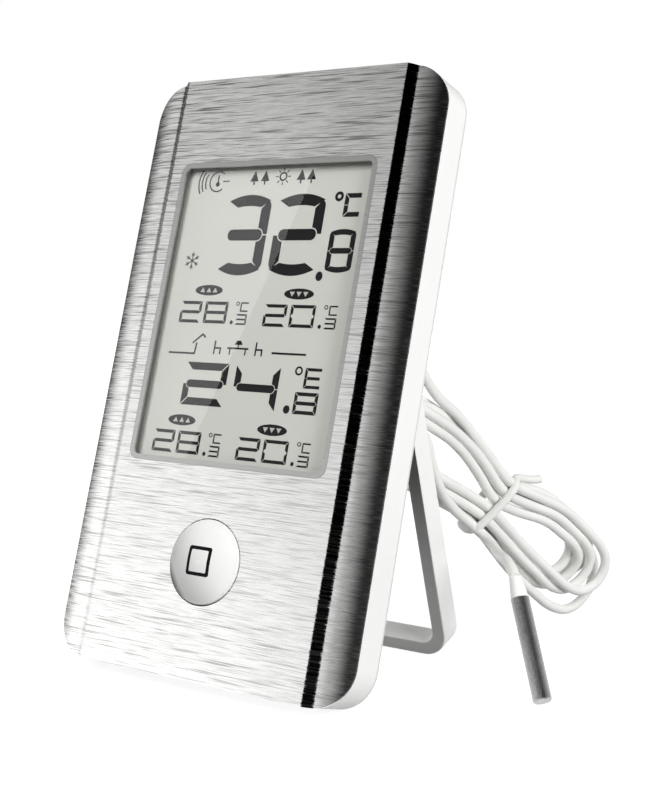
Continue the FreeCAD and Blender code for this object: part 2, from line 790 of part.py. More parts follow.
BEAD_LEG_RADIUS = 0.3


def make_indoor_sensor():
    depth = PLATE_FRONT - d["bead_below_vents"] - d["bead_radius"]
    bead = doc.addObject("Part::Sphere", "bead")
    bind(bead, "Radius", d["bead_radius"])
    for letter, place in zip("xyz", (as_size(0), depth, d["bead_place"])):
        bind(bead, "Placement.Base." + letter, place)
    legs = [rod("bead_leg_%d" % side, "y", as_size(BEAD_LEG_RADIUS), (BOARD_BACK, depth),
                (as_size(2 * BEAD_LEG_RADIUS * side), d["bead_place"])) for side in (-1, 1)]
    node(fuse("indoor_bead", [bead] + legs), "indoor_sensor")


BUTTON_PROUD = 0.15
BUTTON_EDGE = 0.4
BUTTON_ROOF = 0.2
STEM_RADIUS = 2.0
PLUNGER_IN_SWITCH = 1.0
SWITCH_BORE_DEPTH = 1.7


def make_button():
    crown = d["button_crown"]
    radius = d["button_radius"]
    shoulder = PANEL_FRONT - BUTTON_PROUD
    rim = radius - BUTTON_EDGE
    dome = (rim * rim + crown * crown) / (2 * crown)
    apex = shoulder - BUTTON_EDGE - crown
    flange = radius + d["button_flange"]
    flange_back = SHELL_BACK + d["button_flange_depth"]
    inside = radius - d["button_wall"]
    stem_end = 0 - d["button_stem_end"]
    hollow = PANEL_FRONT - BUTTON_ROOF
    loop = [(0, apex, dome), (rim, shoulder - BUTTON_EDGE, as_size(BUTTON_EDGE)), (radius, shoulder),
            (radius, SHELL_BACK), (flange, SHELL_BACK), (flange, flange_back), (inside, flange_back),
            (inside, hollow), (as_size(STEM_RADIUS), hollow), (as_size(STEM_RADIUS), stem_end),
            (0, stem_end)]
    here = FreeCAD.Placement(V(0, 0, number(d["button_height"])), FreeCAD.Rotation())
    node(turned("button", loop), "button_cap", here)
    centre = (as_size(0), d["button_height"])
    front = d["switch_front"]
    half = d["switch_half"]
    node(rod("plunger", "y", d["plunger_radius"], (stem_end, front + PLUNGER_IN_SWITCH), centre),
         "switch_plunger")
    case = box("switch_case", (0 - half, half), (front, d["board_face"]),
               (d["button_height"] - half, d["button_height"] + half))
    bore = rod("switch_bore", "y", d["plunger_radius"] + d["running_gap"],
               (front - PAST, front + SWITCH_BORE_DEPTH), centre)
    node(cut("switch", case, [bore]), "tact_switch")


SWITCH_WALL = 2.0
TRACK_END_ROOM = 0.2
TRACK_SIDE_ROOM = 0.15


def make_unit_switch():
    x = d["slider_x"]
    half = d["slider_size"] / 2
    end = x + d["slider_size"] + d["slider_travel"]
    body_back = PLATE_FRONT - d["rear_wall"] + d["fit_gap"]
    floor = BOARD_BACK + d["slider_base"]
    case_half = half + 1.2
    track_half = half + TRACK_SIDE_ROOM
    case = box("unit_case", (x - SWITCH_WALL, end + SWITCH_WALL), (BOARD_BACK, body_back),
               (SLIDER_HEIGHT - case_half, SLIDER_HEIGHT + case_half))
    track = box("unit_track", (x - TRACK_END_ROOM, end + TRACK_END_ROOM), (floor, body_back + PAST),
                (SLIDER_HEIGHT - track_half, SLIDER_HEIGHT + track_half))
    node(cut("unit_body", case, [track]), "unit_switch_body")
    slider = box("slider", (x, x + d["slider_size"]), (floor + d["fit_gap"], REAR - d["slider_sink"]),
                 (SLIDER_HEIGHT - half, SLIDER_HEIGHT + half))
    node(slider, "unit_slider")


# ---------------------------------------------------------------- battery

SPRING_TURNS = 8
SPRING_CLOSENESS = 0.62
SPRING_TAPER = 0.12
DIMPLE_RADIUS = 2.4


def make_battery():
    centre = (CELL_DEPTH, CELL_HEIGHT)
    half = d["cell_length"] / 2
    nub = half - d["cell_nub_length"]
    can = rod("cell_can", "x", d["cell_radius"], (0 - half, nub), centre)
    tip = rod("cell_tip", "x", d["cell_nub_radius"], (nub - BITE, half), centre)
    node(fuse("cell", [can, tip]), "battery_cell")
    leaf_half = d["leaf_half"]
    leaf = box("contact_leaf", (BAY_HALF - d["leaf_thickness"], BAY_HALF),
               (CELL_DEPTH - leaf_half, CELL_DEPTH + leaf_half),
               (CELL_HEIGHT - leaf_half, CELL_HEIGHT + leaf_half))
    dimple = rod("contact_dimple", "x", as_size(DIMPLE_RADIUS),
                 (half, BAY_HALF - d["leaf_thickness"] + BITE), centre)
    node(fuse("contact", [leaf, dimple]), "battery_contact")
    gap = d["bay_end_room"]
    wire = gap / (SPRING_TURNS - 1) * SPRING_CLOSENESS
    pitch = (gap - 2 * wire) / (SPRING_TURNS - 1)
    rings = []
    for index in range(SPRING_TURNS):
        ring = doc.addObject("Part::Torus", "spring_ring_%d" % index)
        ring.Placement = FreeCAD.Placement(V(0, 0, 0), TURN_TO["x"])
        bind(ring, "Radius1", d["spring_radius"] - SPRING_TAPER * index)
        bind(ring, "Radius2", wire)
        bind(ring, "Placement.Base.x", 0 - BAY_HALF + wire + index * pitch)
        bind(ring, "Placement.Base.y", CELL_DEPTH)
        bind(ring, "Placement.Base.z", CELL_HEIGHT)
        rings.append(ring)
    node(fuse("spring", rings), "battery_spring")


RIB_COUNT = 3
RIB_HALF_LENGTH = 6.0
RIB_WIDTH = 0.6
RIB_PITCH = 1.4
RIB_RISE = 0.25
RIB_INSET = 2.0
TAB_THICKNESS = 0.9
TAB_SINK = 0.4
TAB_REACH = 1.2
WEB_THICKNESS = 0.8


def make_door():
    inner = PLATE_FRONT + d["running_gap"]
    panel = box("door_panel", (0 - DOOR_HALF, DOOR_HALF), (inner, REAR), (DOOR_BOTTOM, DOOR_TOP))
    clear = rod("door_relief", "x", d["cell_radius"] + d["fit_gap"], (0 - BAY_HALF, BAY_HALF),
                (CELL_DEPTH, CELL_HEIGHT))
    ribs = []
    for index in range(RIB_COUNT):
        top = DOOR_TOP - RIB_INSET + RIB_WIDTH - RIB_PITCH * index
        ribs.append(box("door_rib_%d" % index, (-RIB_HALF_LENGTH, RIB_HALF_LENGTH),
                        (REAR - BITE, REAR + RIB_RISE), (top - RIB_WIDTH, top)))
    tabs = []
    tab_front = PLATE_FRONT - TAB_SINK - TAB_THICKNESS
    for index, side in enumerate((-1, 1)):
        middle = side * d["tab_spacing"] / 2
        span = (middle - d["tab_width"] / 2, middle + d["tab_width"] / 2)
        tabs.append(box("door_web_%d" % index, span, (tab_front, inner + BITE),
                        (DOOR_BOTTOM, DOOR_BOTTOM + WEB_THICKNESS)))
        tabs.append(box("door_tab_%d" % index, span, (tab_front, tab_front + TAB_THICKNESS),
                        (DOOR_BOTTOM - TAB_REACH, DOOR_BOTTOM + BITE)))
    shape = cut("door_shape", fuse("door_raw", [panel] + tabs), [clear])
    node(fuse("door", [shape] + ribs), "battery_door")


# ---------------------------------------------------------------- stand

def make_stand():
    """The U stand, drawn folded with its pivot at the origin, then opened about the pivot."""
    low = 0 - d["stand_length"]
    depth = d["stand_depth"]
    front = 0 - depth / 2
    inner_half = STAND_HALF - d["stand_leg"]
    outer = prism("stand_outer", "XZ", front, depth,
                  u_loop(STAND_HALF, low, as_size(0), d["stand_radius"]))
    inner = prism("stand_inner", "XZ", front - PAST, depth + 2 * PAST,
                  u_loop(inner_half, low + d["stand_bar"], as_size(BEYOND),
                         d["stand_radius"] - d["stand_leg"]))
    frame = rounded("stand_frame", cut("stand_sharp", outer, [inner]), d["stand_edge"],
                    lambda middle, edge: abs(abs(middle.y) - number(depth) / 2) < NEAR
                    and abs(middle.z) > NEAR)
    tip = STAND_HALF + d["pin_length"]
    root = STAND_HALF - PAST
    centre = (as_size(0), as_size(0))
    ends = []
    for index, span in enumerate(((inner_half, STAND_HALF), (0 - STAND_HALF, 0 - inner_half))):
        ends.append(rod("stand_end_%d" % index, "x", depth / 2, span, centre))
    for index, span in enumerate(((root, tip), (0 - tip, 0 - root))):
        ends.append(rod("stand_pin_%d" % index, "x", d["pin_radius"], span, centre))
    opened = FreeCAD.Placement(V(0, number(PIVOT_DEPTH), number(PIVOT_HEIGHT)),
                               FreeCAD.Rotation(V(1, 0, 0), number(d["stand_opening"])))
    node(fuse("stand_whole", [frame] + ends), "stand", opened)


# ---------------------------------------------------------------- lean

def lean_angle_and_lift():
    """The angle, in radians, and the lift that set the case and the open stand on the ground."""
    open_angle = math.radians(number(d["stand_opening"]))
    edge = number(d["stand_edge"])
    along = number(d["stand_length"]) - edge
    across = number(d["stand_depth"]) / 2 - edge
    foot_y = number(PIVOT_DEPTH) + along * math.sin(open_angle) - across * math.cos(open_angle)
    foot_z = number(PIVOT_HEIGHT) - along * math.cos(open_angle) - across * math.sin(open_angle)
    heel = number(d["rear_edge_round"])
    heel_y = number(REAR) - heel
    reach = math.hypot(foot_y - heel_y, foot_z - heel)
    angle = math.acos((edge - heel) / reach) - math.atan2(foot_y - heel_y, foot_z - heel)
    lift = heel + math.sin(angle) * heel_y - math.cos(angle) * heel
    return angle, lift


GROMMET_BARB = 0.6
GROMMET_BARB_DEPTH = 0.8
FLANGE_EDGE = 0.9
FLANGE_DEPTH = 1.3
NOSE_WALL = 0.3


def make_grommet():
    x = d["grommet_x"]
    z = GROMMET_HEIGHT
    cord = d["cord_diameter"] / 2
    neck = grommet_neck()
    barb = neck + GROMMET_BARB
    barb_front = PLATE_FRONT - GROMMET_BARB_DEPTH
    flange = cord + d["grommet_flange"]
    nose = REAR + d["grommet_length"]
    loop = [(0, barb_front), (barb, barb_front), (barb, PLATE_FRONT), (neck, PLATE_FRONT),
            (neck, REAR), (flange, REAR), (flange, REAR + FLANGE_EDGE),
            (neck + PIN_END_ROOM, REAR + FLANGE_DEPTH), (cord + NOSE_WALL, nose), (0, nose)]
    here = FreeCAD.Placement(V(number(x), 0, number(z)), FreeCAD.Rotation())
    node(turned("grommet", loop), "cable_grommet", here)
    wires = [rod("wire_%d" % side, "y", d["wire_radius"], (BOARD_BACK, barb_front),
                 (x + side * d["wire_spread"], z)) for side in (-1, 1)]
    node(group("wires", wires), "lead_wires")


make_fascia()
make_window_rim()
make_front_shell()
make_rear_cover()
make_screws()
make_display()
make_board()
make_button()
make_unit_switch()
make_battery()
make_door()
make_stand()
make_grommet()
doc.recompute()

LEAN, LIFT = lean_angle_and_lift()
lean = FreeCAD.Placement(V(0, 0, LIFT), FreeCAD.Rotation(V(1, 0, 0), -math.degrees(LEAN)))
for thing, place in lean_parts:
    thing.Placement = lean.multiply(place)
doc.recompute()


def footprint_middle():
    """The middle of the whole object's depth, which becomes the origin's y."""
    boxes = [thing.Shape.optimalBoundingBox(False) for thing, place in lean_parts]
    return (min(b.YMin for b in boxes) + max(b.YMax for b in boxes)) / 2


centring = FreeCAD.Placement(V(0, -footprint_middle(), 0), FreeCAD.Rotation())
for thing, place in lean_parts:
    thing.Placement = centring.multiply(thing.Placement)
doc.recompute()
to_row = centring.multiply(lean)


# ---------------------------------------------------------------- sensor lead and probe
# These lie on the ground behind the case, so they are placed in the row frame.

LEAD_ROUTE = [V(18.0, 23.5, 91.0), V(19.6, 28.0, 85.8), V(22.4, 28.0, 78.4), V(27.6, 25.2, 71.6),
              V(32.3, 25.2, 64.6), V(34.2, 29.5, 58.0)]
PROBE_ROUTE = [V(37.6, 44.6, 28.4), V(42.6, 36.6, 30.2), V(48.2, 29.0, 30.0), V(54.0, 21.6, 28.2)]
HANK_WAIST = V(35.2, 44.2, 35.7)
HANK_FOOT = V(46.8, 78.9, 6.5)
HANK_ACROSS = V(0.52, 0.425, 0.741)
PROBE_TIP = V(70.4, 6.3, 0.95)
PROBE_TOP = V(60.3, 15.0, 21.0)

row_parts = []


def row_node(thing, name, place=None):
    """Name a finished piece that is placed straight in the row frame."""
    thing.Label = name
    row_parts.append(thing)
    if place:
        thing.Placement = place
    return thing


def frame_at(origin, along, across):
    """A placement whose x runs along one direction and whose y lies towards another."""
    x = V(along).normalize()
    z = x.cross(V(across)).normalize()
    y = z.cross(x)
    return FreeCAD.Placement(origin, FreeCAD.Rotation(x, y, z, "XYZ"))


ARC_SHARE = 0.45


def make_tube(name, route):
    """A cord's tube: straight runs joined by tangent arcs, each as large as its runs allow."""
    radius = number(d["cord_diameter"]) / 2
    edges = []
    start = route[0]
    length = 0.0
    radii = []
    for before, corner, after in zip(route, route[1:], route[2:]):
        one = (corner - before).normalize()
        two = (after - corner).normalize()
        half_turn = one.getAngle(two) / 2
        reach = ARC_SHARE * min((corner - before).Length, (after - corner).Length)
        bend = reach / math.tan(half_turn)
        arc_start = corner - one * reach
        arc_end = corner + two * reach
        inward = (two - one).normalize()
        centre = corner + inward * (bend / math.cos(half_turn))
        edges.append(Part.LineSegment(start, arc_start).toShape())
        edges.append(Part.Arc(arc_start, centre - inward * bend, arc_end).toShape())
        length += (arc_start - start).Length + 2 * half_turn * bend
        start = arc_end
        radii.append(bend)
    edges.append(Part.LineSegment(start, route[-1]).toShape())
    length += (route[-1] - start).Length
    heading = (route[1] - route[0]).normalize()
    section = Part.Wire([Part.makeCircle(radius, route[0], heading)])
    tube = Part.Wire(edges).makePipeShell([section], True, True)
    expected = math.pi * radius ** 2 * length
    print("%s: length %.1f, radii %s, volume %.1f of %.1f" % (
        name, length, " ".join("%.1f" % bend for bend in radii), tube.Volume, expected))
    piece = doc.addObject("Part::Feature", name + "_tube")
    piece.Shape = tube
    return row_node(piece, name)


def make_cord():
    nose = V(number(d["grommet_x"]), number(REAR + d["grommet_length"]), number(GROMMET_HEIGHT))
    make_tube("cord_lead", [to_row.multVec(nose)] + LEAD_ROUTE)
    axis = (PROBE_TOP - PROBE_TIP).normalize()
    make_tube("probe_lead", PROBE_ROUTE + [PROBE_TOP + axis * number(d["boot_length"])])


def make_hank():
    """The outer shape of the tied turns: two round ends and a narrow waist."""
    upper = d["hank_upper"]
    lower = d["hank_lower"]
    upper_r = d["hank_upper_radius"]
    lower_r = d["hank_lower_radius"]
    rise = d["hank_foot_rise"]
    half = d["tie_width"] / 2
    thick = d["hank_thickness"]
    waist_low = d["hank_waist_rise"] - d["hank_waist"]
    waist_top = d["hank_waist_rise"] + d["hank_waist"]
    loop = [(upper_r - upper, 0 - upper_r), (0 - half, waist_low), (half, waist_low),
            (lower - lower_r, rise - lower_r, lower_r), (lower, rise, lower_r),
            (lower - lower_r, rise + lower_r), (half, waist_top), (0 - half, waist_top),
            (upper_r - upper, upper_r, upper_r), (0 - upper, 0, upper_r)]
    place = frame_at(HANK_WAIST, HANK_FOOT - HANK_WAIST, HANK_ACROSS)
    row_node(prism("hank", "XY", 0 - thick / 2, thick, loop), "cord_hank", place)
    band = d["tie_thickness"]
    outer = box("tie_outer", (0 - half, half), (waist_low - band, waist_top + band),
                (0 - thick / 2 - band, thick / 2 + band))
    inner = box("tie_inner", (0 - half - PAST, half + PAST), (waist_low, waist_top),
                (0 - thick / 2, thick / 2))
    tail = rod("tail", "y", half * 0.8, (waist_top + band / 2, waist_top + band + d["tie_tail"]),
               (as_size(0), thick / 2))
    row_node(fuse("tie", [cut("tie_ring", outer, [inner]), tail]), "cord_tie", place)


SLEEVE_END = 0.8
BEAD_START = 2.0
BEAD_LENGTH = 3.0
BOOT_END_WALL = 0.15


def make_probe():
    """The probe, drawn along x from its tip, then stood on its tip."""
    length = as_size((PROBE_TOP - PROBE_TIP).Length)
    radius = d["probe_radius"]
    bore_radius = radius - d["probe_wall"]
    plug_start = length - d["boot_plug"]
    place = frame_at(PROBE_TIP, PROBE_TOP - PROBE_TIP, V(0, 0, 1))
    centre = (as_size(0), as_size(0))
    rod_shape = rod("sleeve_rod", "x", radius, (as_size(0), length), centre)
    outer = rounded("sleeve_outer", rod_shape, d["probe_nose"],
                    lambda middle, edge: abs(middle.x) < NEAR and edge.Closed)
    bore = rod("sleeve_bore", "x", bore_radius, (as_size(SLEEVE_END), length + PAST), centre)
    row_node(cut("sleeve", outer, [bore]), "probe_sleeve", place)
    bead_end = BEAD_START + BEAD_LENGTH
    bead = rod("probe_bead", "x", d["probe_bead_radius"], (as_size(BEAD_START), as_size(bead_end)), centre)
    wire = rod("probe_wire", "x", d["probe_wire_radius"], (as_size(bead_end - BITE), plug_start), centre)
    row_node(fuse("probe_core", [bead, wire]), "probe_sensor", place)
    plug = rod("boot_core", "x", bore_radius, (plug_start, length + BITE), centre)
    cone = doc.addObject("Part::Cone", "boot_cone")
    cone.Placement = FreeCAD.Placement(V(number(length), 0, 0), TURN_TO["x"])
    bind(cone, "Radius1", radius)
    bind(cone, "Radius2", d["cord_diameter"] / 2 + BOOT_END_WALL)
    bind(cone, "Height", d["boot_length"])
    row_node(fuse("boot", [plug, cone]), "probe_boot", place)


make_cord()
make_hank()
make_probe()
doc.recompute()


def check_and_write():
    """Stop at any failed object or bad shape, then write every node's STEP file."""
    for thing in doc.Objects:
        if "Invalid" in thing.State or "Error" in thing.State:
            raise RuntimeError("%s failed: %s" % (thing.Name, thing.State))
    pieces = [thing for thing, place in lean_parts] + row_parts
    for thing in pieces:
        shape = thing.Shape
        if shape.isNull() or not shape.isValid() or not shape.Solids:
            raise RuntimeError("%s has a bad shape" % thing.Label)
    os.makedirs("parts", exist_ok=True)
    for thing in pieces:
        thing.Shape.exportStep("parts/%s.step" % thing.Label)


check_and_write()
print("lean %.3f degrees, lift %.3f mm" % (math.degrees(LEAN), LIFT))
for words, point in (("stand pivot", (0, number(PIVOT_DEPTH), number(PIVOT_HEIGHT))),
                     ("door hinge", (0, number(REAR), number(DOOR_BOTTOM - d["door_gap"] / 2))),
                     ("hanger entry", (0, number(PLATE_FRONT + REAR) / 2, number(HANGER_HEIGHT)))):
    print(words, [round(value, 4) for value in to_row.multVec(V(*point))])
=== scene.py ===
import json
import math

import bmesh
import bpy
import numpy as np
from mathutils import Matrix, Vector


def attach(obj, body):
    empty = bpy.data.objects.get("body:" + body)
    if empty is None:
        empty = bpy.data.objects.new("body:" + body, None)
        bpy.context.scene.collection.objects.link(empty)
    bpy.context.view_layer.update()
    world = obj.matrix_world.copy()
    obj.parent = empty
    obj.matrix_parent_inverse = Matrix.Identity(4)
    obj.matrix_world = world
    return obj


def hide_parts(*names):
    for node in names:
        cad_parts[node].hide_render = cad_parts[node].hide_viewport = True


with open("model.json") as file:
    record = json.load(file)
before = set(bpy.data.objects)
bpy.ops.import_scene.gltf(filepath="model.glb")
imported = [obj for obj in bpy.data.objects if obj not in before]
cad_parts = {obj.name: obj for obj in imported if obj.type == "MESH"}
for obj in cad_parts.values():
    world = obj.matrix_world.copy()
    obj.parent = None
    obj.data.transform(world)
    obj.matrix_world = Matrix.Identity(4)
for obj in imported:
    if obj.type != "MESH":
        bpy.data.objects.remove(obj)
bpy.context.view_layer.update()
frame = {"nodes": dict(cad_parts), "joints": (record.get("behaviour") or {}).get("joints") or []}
MM = 0.001
NODES = frame["nodes"]
scene = bpy.context.scene
scene.view_settings.view_transform = "Standard"

# ---------------------------------------------------------------- the case's own frame
JOINTS = {joint["name"]: joint for joint in frame["joints"]}
STAND_PIVOT = (0.0, 6.5, 87.5)
ACROSS = Vector((1.0, 0.0, 0.0))
INWARD = Vector(JOINTS["button_press"]["axis"]).normalized()
UPWARD = ACROSS.cross(INWARD)
CASE = Matrix((ACROSS, INWARD, UPWARD)).transposed().to_4x4()
CASE.translation = Vector(JOINTS["stand_fold"]["pos_m"]) - CASE @ (Vector(STAND_PIVOT) * MM)


def on_case(x, y, z):
    """A point given in millimetres across, into and up the leaning case."""
    return CASE @ (Vector((x, y, z)) * MM)


def smooth(t):
    t = min(max(t, 0.0), 1.0)
    return t * t * (3 - 2 * t)


def mix(one, other, t):
    return one + (other - one) * t


# ---------------------------------------------------------------- material writing
def node(tree, kind, inputs=(), **settings):
    made = tree.nodes.new(kind)
    for key, value in settings.items():
        setattr(made, key, value)
    for key, value in dict(inputs).items():
        if isinstance(value, bpy.types.NodeSocket):
            tree.links.new(value, made.inputs[key])
        else:
            made.inputs[key].default_value = value
    return made


def maths(tree, operation, *values):
    return node(tree, "ShaderNodeMath", enumerate(values), operation=operation).outputs[0]


def vectors(tree, operation, *values):
    return node(tree, "ShaderNodeVectorMath", enumerate(values), operation=operation).outputs[0]


def scaled(tree, vector, factor):
    return node(tree, "ShaderNodeVectorMath", {0: vector, "Scale": factor}, operation="SCALE").outputs[0]


def between(tree, value, low, high, to_low, to_high, kind="LINEAR"):
    inputs = {"Value": value, "From Min": low, "From Max": high, "To Min": to_low, "To Max": to_high}
    return node(tree, "ShaderNodeMapRange", inputs, interpolation_type=kind).outputs[0]


def noise(tree, vector, scale, detail=2.0, rough=0.5):
    inputs = {"Vector": vector, "Scale": scale, "Detail": detail, "Roughness": rough}
    return node(tree, "ShaderNodeTexNoise", inputs).outputs[0]


def millimetres(tree):
    """The surface's place in millimetres in the row frame."""
    return scaled(tree, node(tree, "ShaderNodeTexCoord").outputs["Object"], 1 / MM)


def case_millimetres(tree):
    """The surface's place in the leaning case's millimetres."""
    inputs = {"Vector": node(tree, "ShaderNodeTexCoord").outputs["Object"],
              "Location": CASE.translation, "Rotation": CASE.to_euler(), "Scale": (MM, MM, MM)}
    return node(tree, "ShaderNodeMapping", inputs, vector_type="TEXTURE").outputs[0]


def stretched(tree, vector, sizes):
    """The place with each direction divided by a size, so that one noise unit is that long."""
    return vectors(tree, "MULTIPLY", vector, tuple(1 / size for size in sizes))


def two_tone(tree, factor, low, high, dark, light):
    """A colour that goes from dark to light as factor goes from low to high."""
    ramp = node(tree, "ShaderNodeValToRGB", {"Fac": factor})
    for element, place, colour in zip(ramp.color_ramp.elements, (low, high), (dark, light)):
        element.position = place
        element.color = (*colour, 1.0)
    return ramp.outputs["Color"]


def new_material(name, **constants):
    """A Principled material and its node tree and shader."""
    material = bpy.data.materials.new(name)
    material.use_nodes = True
    tree = material.node_tree
    shader = tree.nodes["Principled BSDF"]
    for key, value in constants.items():
        shader.inputs[key.replace("_", " ")].default_value = value
    return material, tree, shader


def moulded(name, colour, roughness, grain=0.35, grain_height=0.004, shade=0.03, **constants):
    """Moulded plastic or rubber: a fine spark-eroded grain and slight changes of tone."""
    material, tree, shader = new_material(name, **constants)
    place = millimetres(tree)
    dark = tuple(c * (1 - shade) for c in colour)
    tone = noise(tree, place, 0.06, 3.0)
    tree.links.new(two_tone(tree, tone, 0.35, 0.65, dark, colour), shader.inputs["Base Color"])
    fine = noise(tree, place, 1 / grain, 2.0, 0.6)
    tree.links.new(between(tree, fine, 0.3, 0.7, roughness - 0.05, roughness + 0.05),
                   shader.inputs["Roughness"])
    bump = node(tree, "ShaderNodeBump", {"Height": fine, "Distance": grain_height * MM, "Strength": 1.0})
    tree.links.new(bump.outputs[0], shader.inputs["Normal"])
    return material


def drawn_metal(name, colour, roughness, streak=(0.25, 0.25, 6.0), contrast=0.12, **constants):
    """Machined or rolled metal: streaks along one direction in tone and roughness."""
    material, tree, shader = new_material(name, Metallic=1.0, **constants)
    place = stretched(tree, millimetres(tree), streak)
    lines = noise(tree, place, 1.0, 3.0, 0.65)
    dark = tuple(c * (1 - contrast) for c in colour)
    light = tuple(min(c * (1 + contrast), 1.0) for c in colour)
    tree.links.new(two_tone(tree, lines, 0.3, 0.7, dark, light), shader.inputs["Base Color"])
    tree.links.new(between(tree, lines, 0.3, 0.7, roughness - 0.06, roughness + 0.08),
                   shader.inputs["Roughness"])
    return material


# ---------------------------------------------------------------- materials
# Lengths in the case's millimetres. The slope is the step between the flat panel and the sides.
STREAK_LENGTH = 15.0
STREAK_WIDTH = 0.38
STREAK_TONES = (0.39, 0.53, (0.42, 0.42, 0.41), (1.0, 1.0, 0.985))
TILT_ALONG = 0.26
TILT_UP = 0.85
PANEL_HALF = 32.3
SLOPE_FOOT = 34.3
# SLOPE_* and EDGE_* set where the colour is darkened as a painted reflection of the dark room.
SLOPE_HALF = (0.75, 1.25)
SLOPE_WIDER_LEFT = 0.45
SLOPE_DEPTH_RIGHT = 0.97
SLOPE_DEPTH_LEFT = (20.0, 140.0, 0.15, 0.85)
EDGE_DARK = (37.4, 41.2)
EDGE_DEPTH = (0.30, 0.90)
EDGE_RAGGED = 5.0
# How deep the streaks' dark dips go from low to high: painted shade towards the top.
SCRATCH_AND_TOP_SHADE = (30.0, 140.0, 0.0, 0.65)


def brushed_aluminium():
    """Aluminium brushed from side to side: short thin streaks that tilt, tint and roughen the face.

    The slope beside the panel and the rolled edges are darkened in colour as a painted reflection of the dark
    room, and the streaks darken more towards the top as painted shade.
    """
    material, tree, shader = new_material("brushed_aluminium", Metallic=1.0, Anisotropic=0.55)
    place = case_millimetres(tree)
    main = noise(tree, stretched(tree, place, (STREAK_LENGTH, STREAK_LENGTH, STREAK_WIDTH)), 1.0, 2.0, 0.6)
    other = noise(tree, stretched(tree, vectors(tree, "ADD", place, (70.0, 30.0, 11.0)),
                                  (STREAK_LENGTH * 0.6, STREAK_LENGTH, STREAK_WIDTH * 0.7)), 1.0, 2.0, 0.6)
    broad = noise(tree, stretched(tree, place, (26.0, 26.0, 1.6)), 1.0, 2.0, 0.5)
    mixed = maths(tree, "ADD", maths(tree, "MULTIPLY", main, 0.6), maths(tree, "MULTIPLY", other, 0.4))
    tone = two_tone(tree, mixed, *STREAK_TONES)
    across, _, height = node(tree, "ShaderNodeSeparateXYZ", {0: place}).outputs
    out = maths(tree, "ABSOLUTE", across)
    on_right = between(tree, across, -1.0, 1.0, 0.0, 1.0)
    ragged = maths(tree, "MULTIPLY", maths(tree, "SUBTRACT", other, 0.5), EDGE_RAGGED)
    # Painted reflection: the rolled edges darken, the right one most.
    rolled_edge_painted_reflection = between(tree, maths(tree, "ADD", out, ragged), *EDGE_DARK, 0.0, 1.0, "SMOOTHSTEP")
    rolled_edge_painted_reflection = maths(tree, "MULTIPLY", rolled_edge_painted_reflection, between(tree, on_right, 0.0, 1.0, *EDGE_DEPTH))
    frayed = maths(tree, "ADD", out, maths(tree, "MULTIPLY", ragged, 0.25))
    # Painted reflection: the slope beside the panel darkens, the left one more towards the top.
    middle = (PANEL_HALF + SLOPE_FOOT) / 2
    off_slope = maths(tree, "ABSOLUTE", maths(tree, "SUBTRACT", frayed, middle))
    off_slope = maths(tree, "SUBTRACT", off_slope, between(tree, on_right, 0.0, 1.0, SLOPE_WIDER_LEFT, 0.0))
    slope_painted_reflection = between(tree, off_slope, *SLOPE_HALF, 1.0, 0.0, "SMOOTHSTEP")
    left_depth = between(tree, height, *SLOPE_DEPTH_LEFT)
    slope_painted_reflection = maths(tree, "MULTIPLY", slope_painted_reflection, between(tree, on_right, 0.0, 1.0, left_depth, SLOPE_DEPTH_RIGHT))
    # Painted shade: the streaks' dark dips deepen towards the top.
    scratches_and_top_shade = maths(tree, "MULTIPLY", between(tree, main, 0.34, 0.50, 1.0, 0.0),
                      between(tree, height, *SCRATCH_AND_TOP_SHADE))
    shade = maths(tree, "MULTIPLY", maths(tree, "SUBTRACT", 1.0, rolled_edge_painted_reflection), maths(tree, "SUBTRACT", 1.0, slope_painted_reflection))
    shade = maths(tree, "MULTIPLY", shade, maths(tree, "SUBTRACT", 1.0, scratches_and_top_shade))
    tree.links.new(scaled(tree, tone, shade), shader.inputs["Base Color"])
    rough = maths(tree, "ADD", between(tree, other, 0.3, 0.7, 0.16, 0.30),
                  between(tree, broad, 0.3, 0.7, -0.03, 0.03))
    tree.links.new(rough, shader.inputs["Roughness"])
    along = maths(tree, "MULTIPLY", maths(tree, "SUBTRACT", other, 0.5), TILT_ALONG)
    up = maths(tree, "MULTIPLY", maths(tree, "SUBTRACT", main, 0.5), TILT_UP)
    face = node(tree, "ShaderNodeNewGeometry").outputs["Normal"]
    tilted = vectors(tree, "ADD", face, scaled(tree, node_vector(tree, ACROSS), along))
    tilted = vectors(tree, "ADD", tilted, scaled(tree, node_vector(tree, UPWARD), up))
    tree.links.new(vectors(tree, "NORMALIZE", tilted), shader.inputs["Normal"])
    tree.links.new(node_vector(tree, UPWARD), shader.inputs["Tangent"])
    return material


def node_vector(tree, value):
    return node(tree, "ShaderNodeCombineXYZ", enumerate(value)).outputs[0]


def window_plastic():
    """The clear window: what shows through it and a mirror image that grows with the angle."""
    material = bpy.data.materials.new("window_plastic")
    material.use_nodes = True
    tree = material.node_tree
    tree.nodes.clear()
    front = maths(tree, "SUBTRACT", 1.0, node(tree, "ShaderNodeNewGeometry").outputs["Backfacing"])
    bounce = node(tree, "ShaderNodeFresnel", {"IOR": 1.2}).outputs[0]
    both_faces = maths(tree, "MULTIPLY", bounce, 1.5)
    clear = node(tree, "ShaderNodeBsdfTransparent", {"Color": (0.985, 0.985, 0.98, 1.0)}).outputs[0]
    gloss = node(tree, "ShaderNodeBsdfGlossy", {"Color": (1.0, 1.0, 1.0, 1.0), "Roughness": 0.012}).outputs[0]
    share = maths(tree, "MULTIPLY", front, both_faces)
    mixed = node(tree, "ShaderNodeMixShader", {0: share, 1: clear, 2: gloss})
    node(tree, "ShaderNodeOutputMaterial", {"Surface": mixed.outputs[0]})
    return material


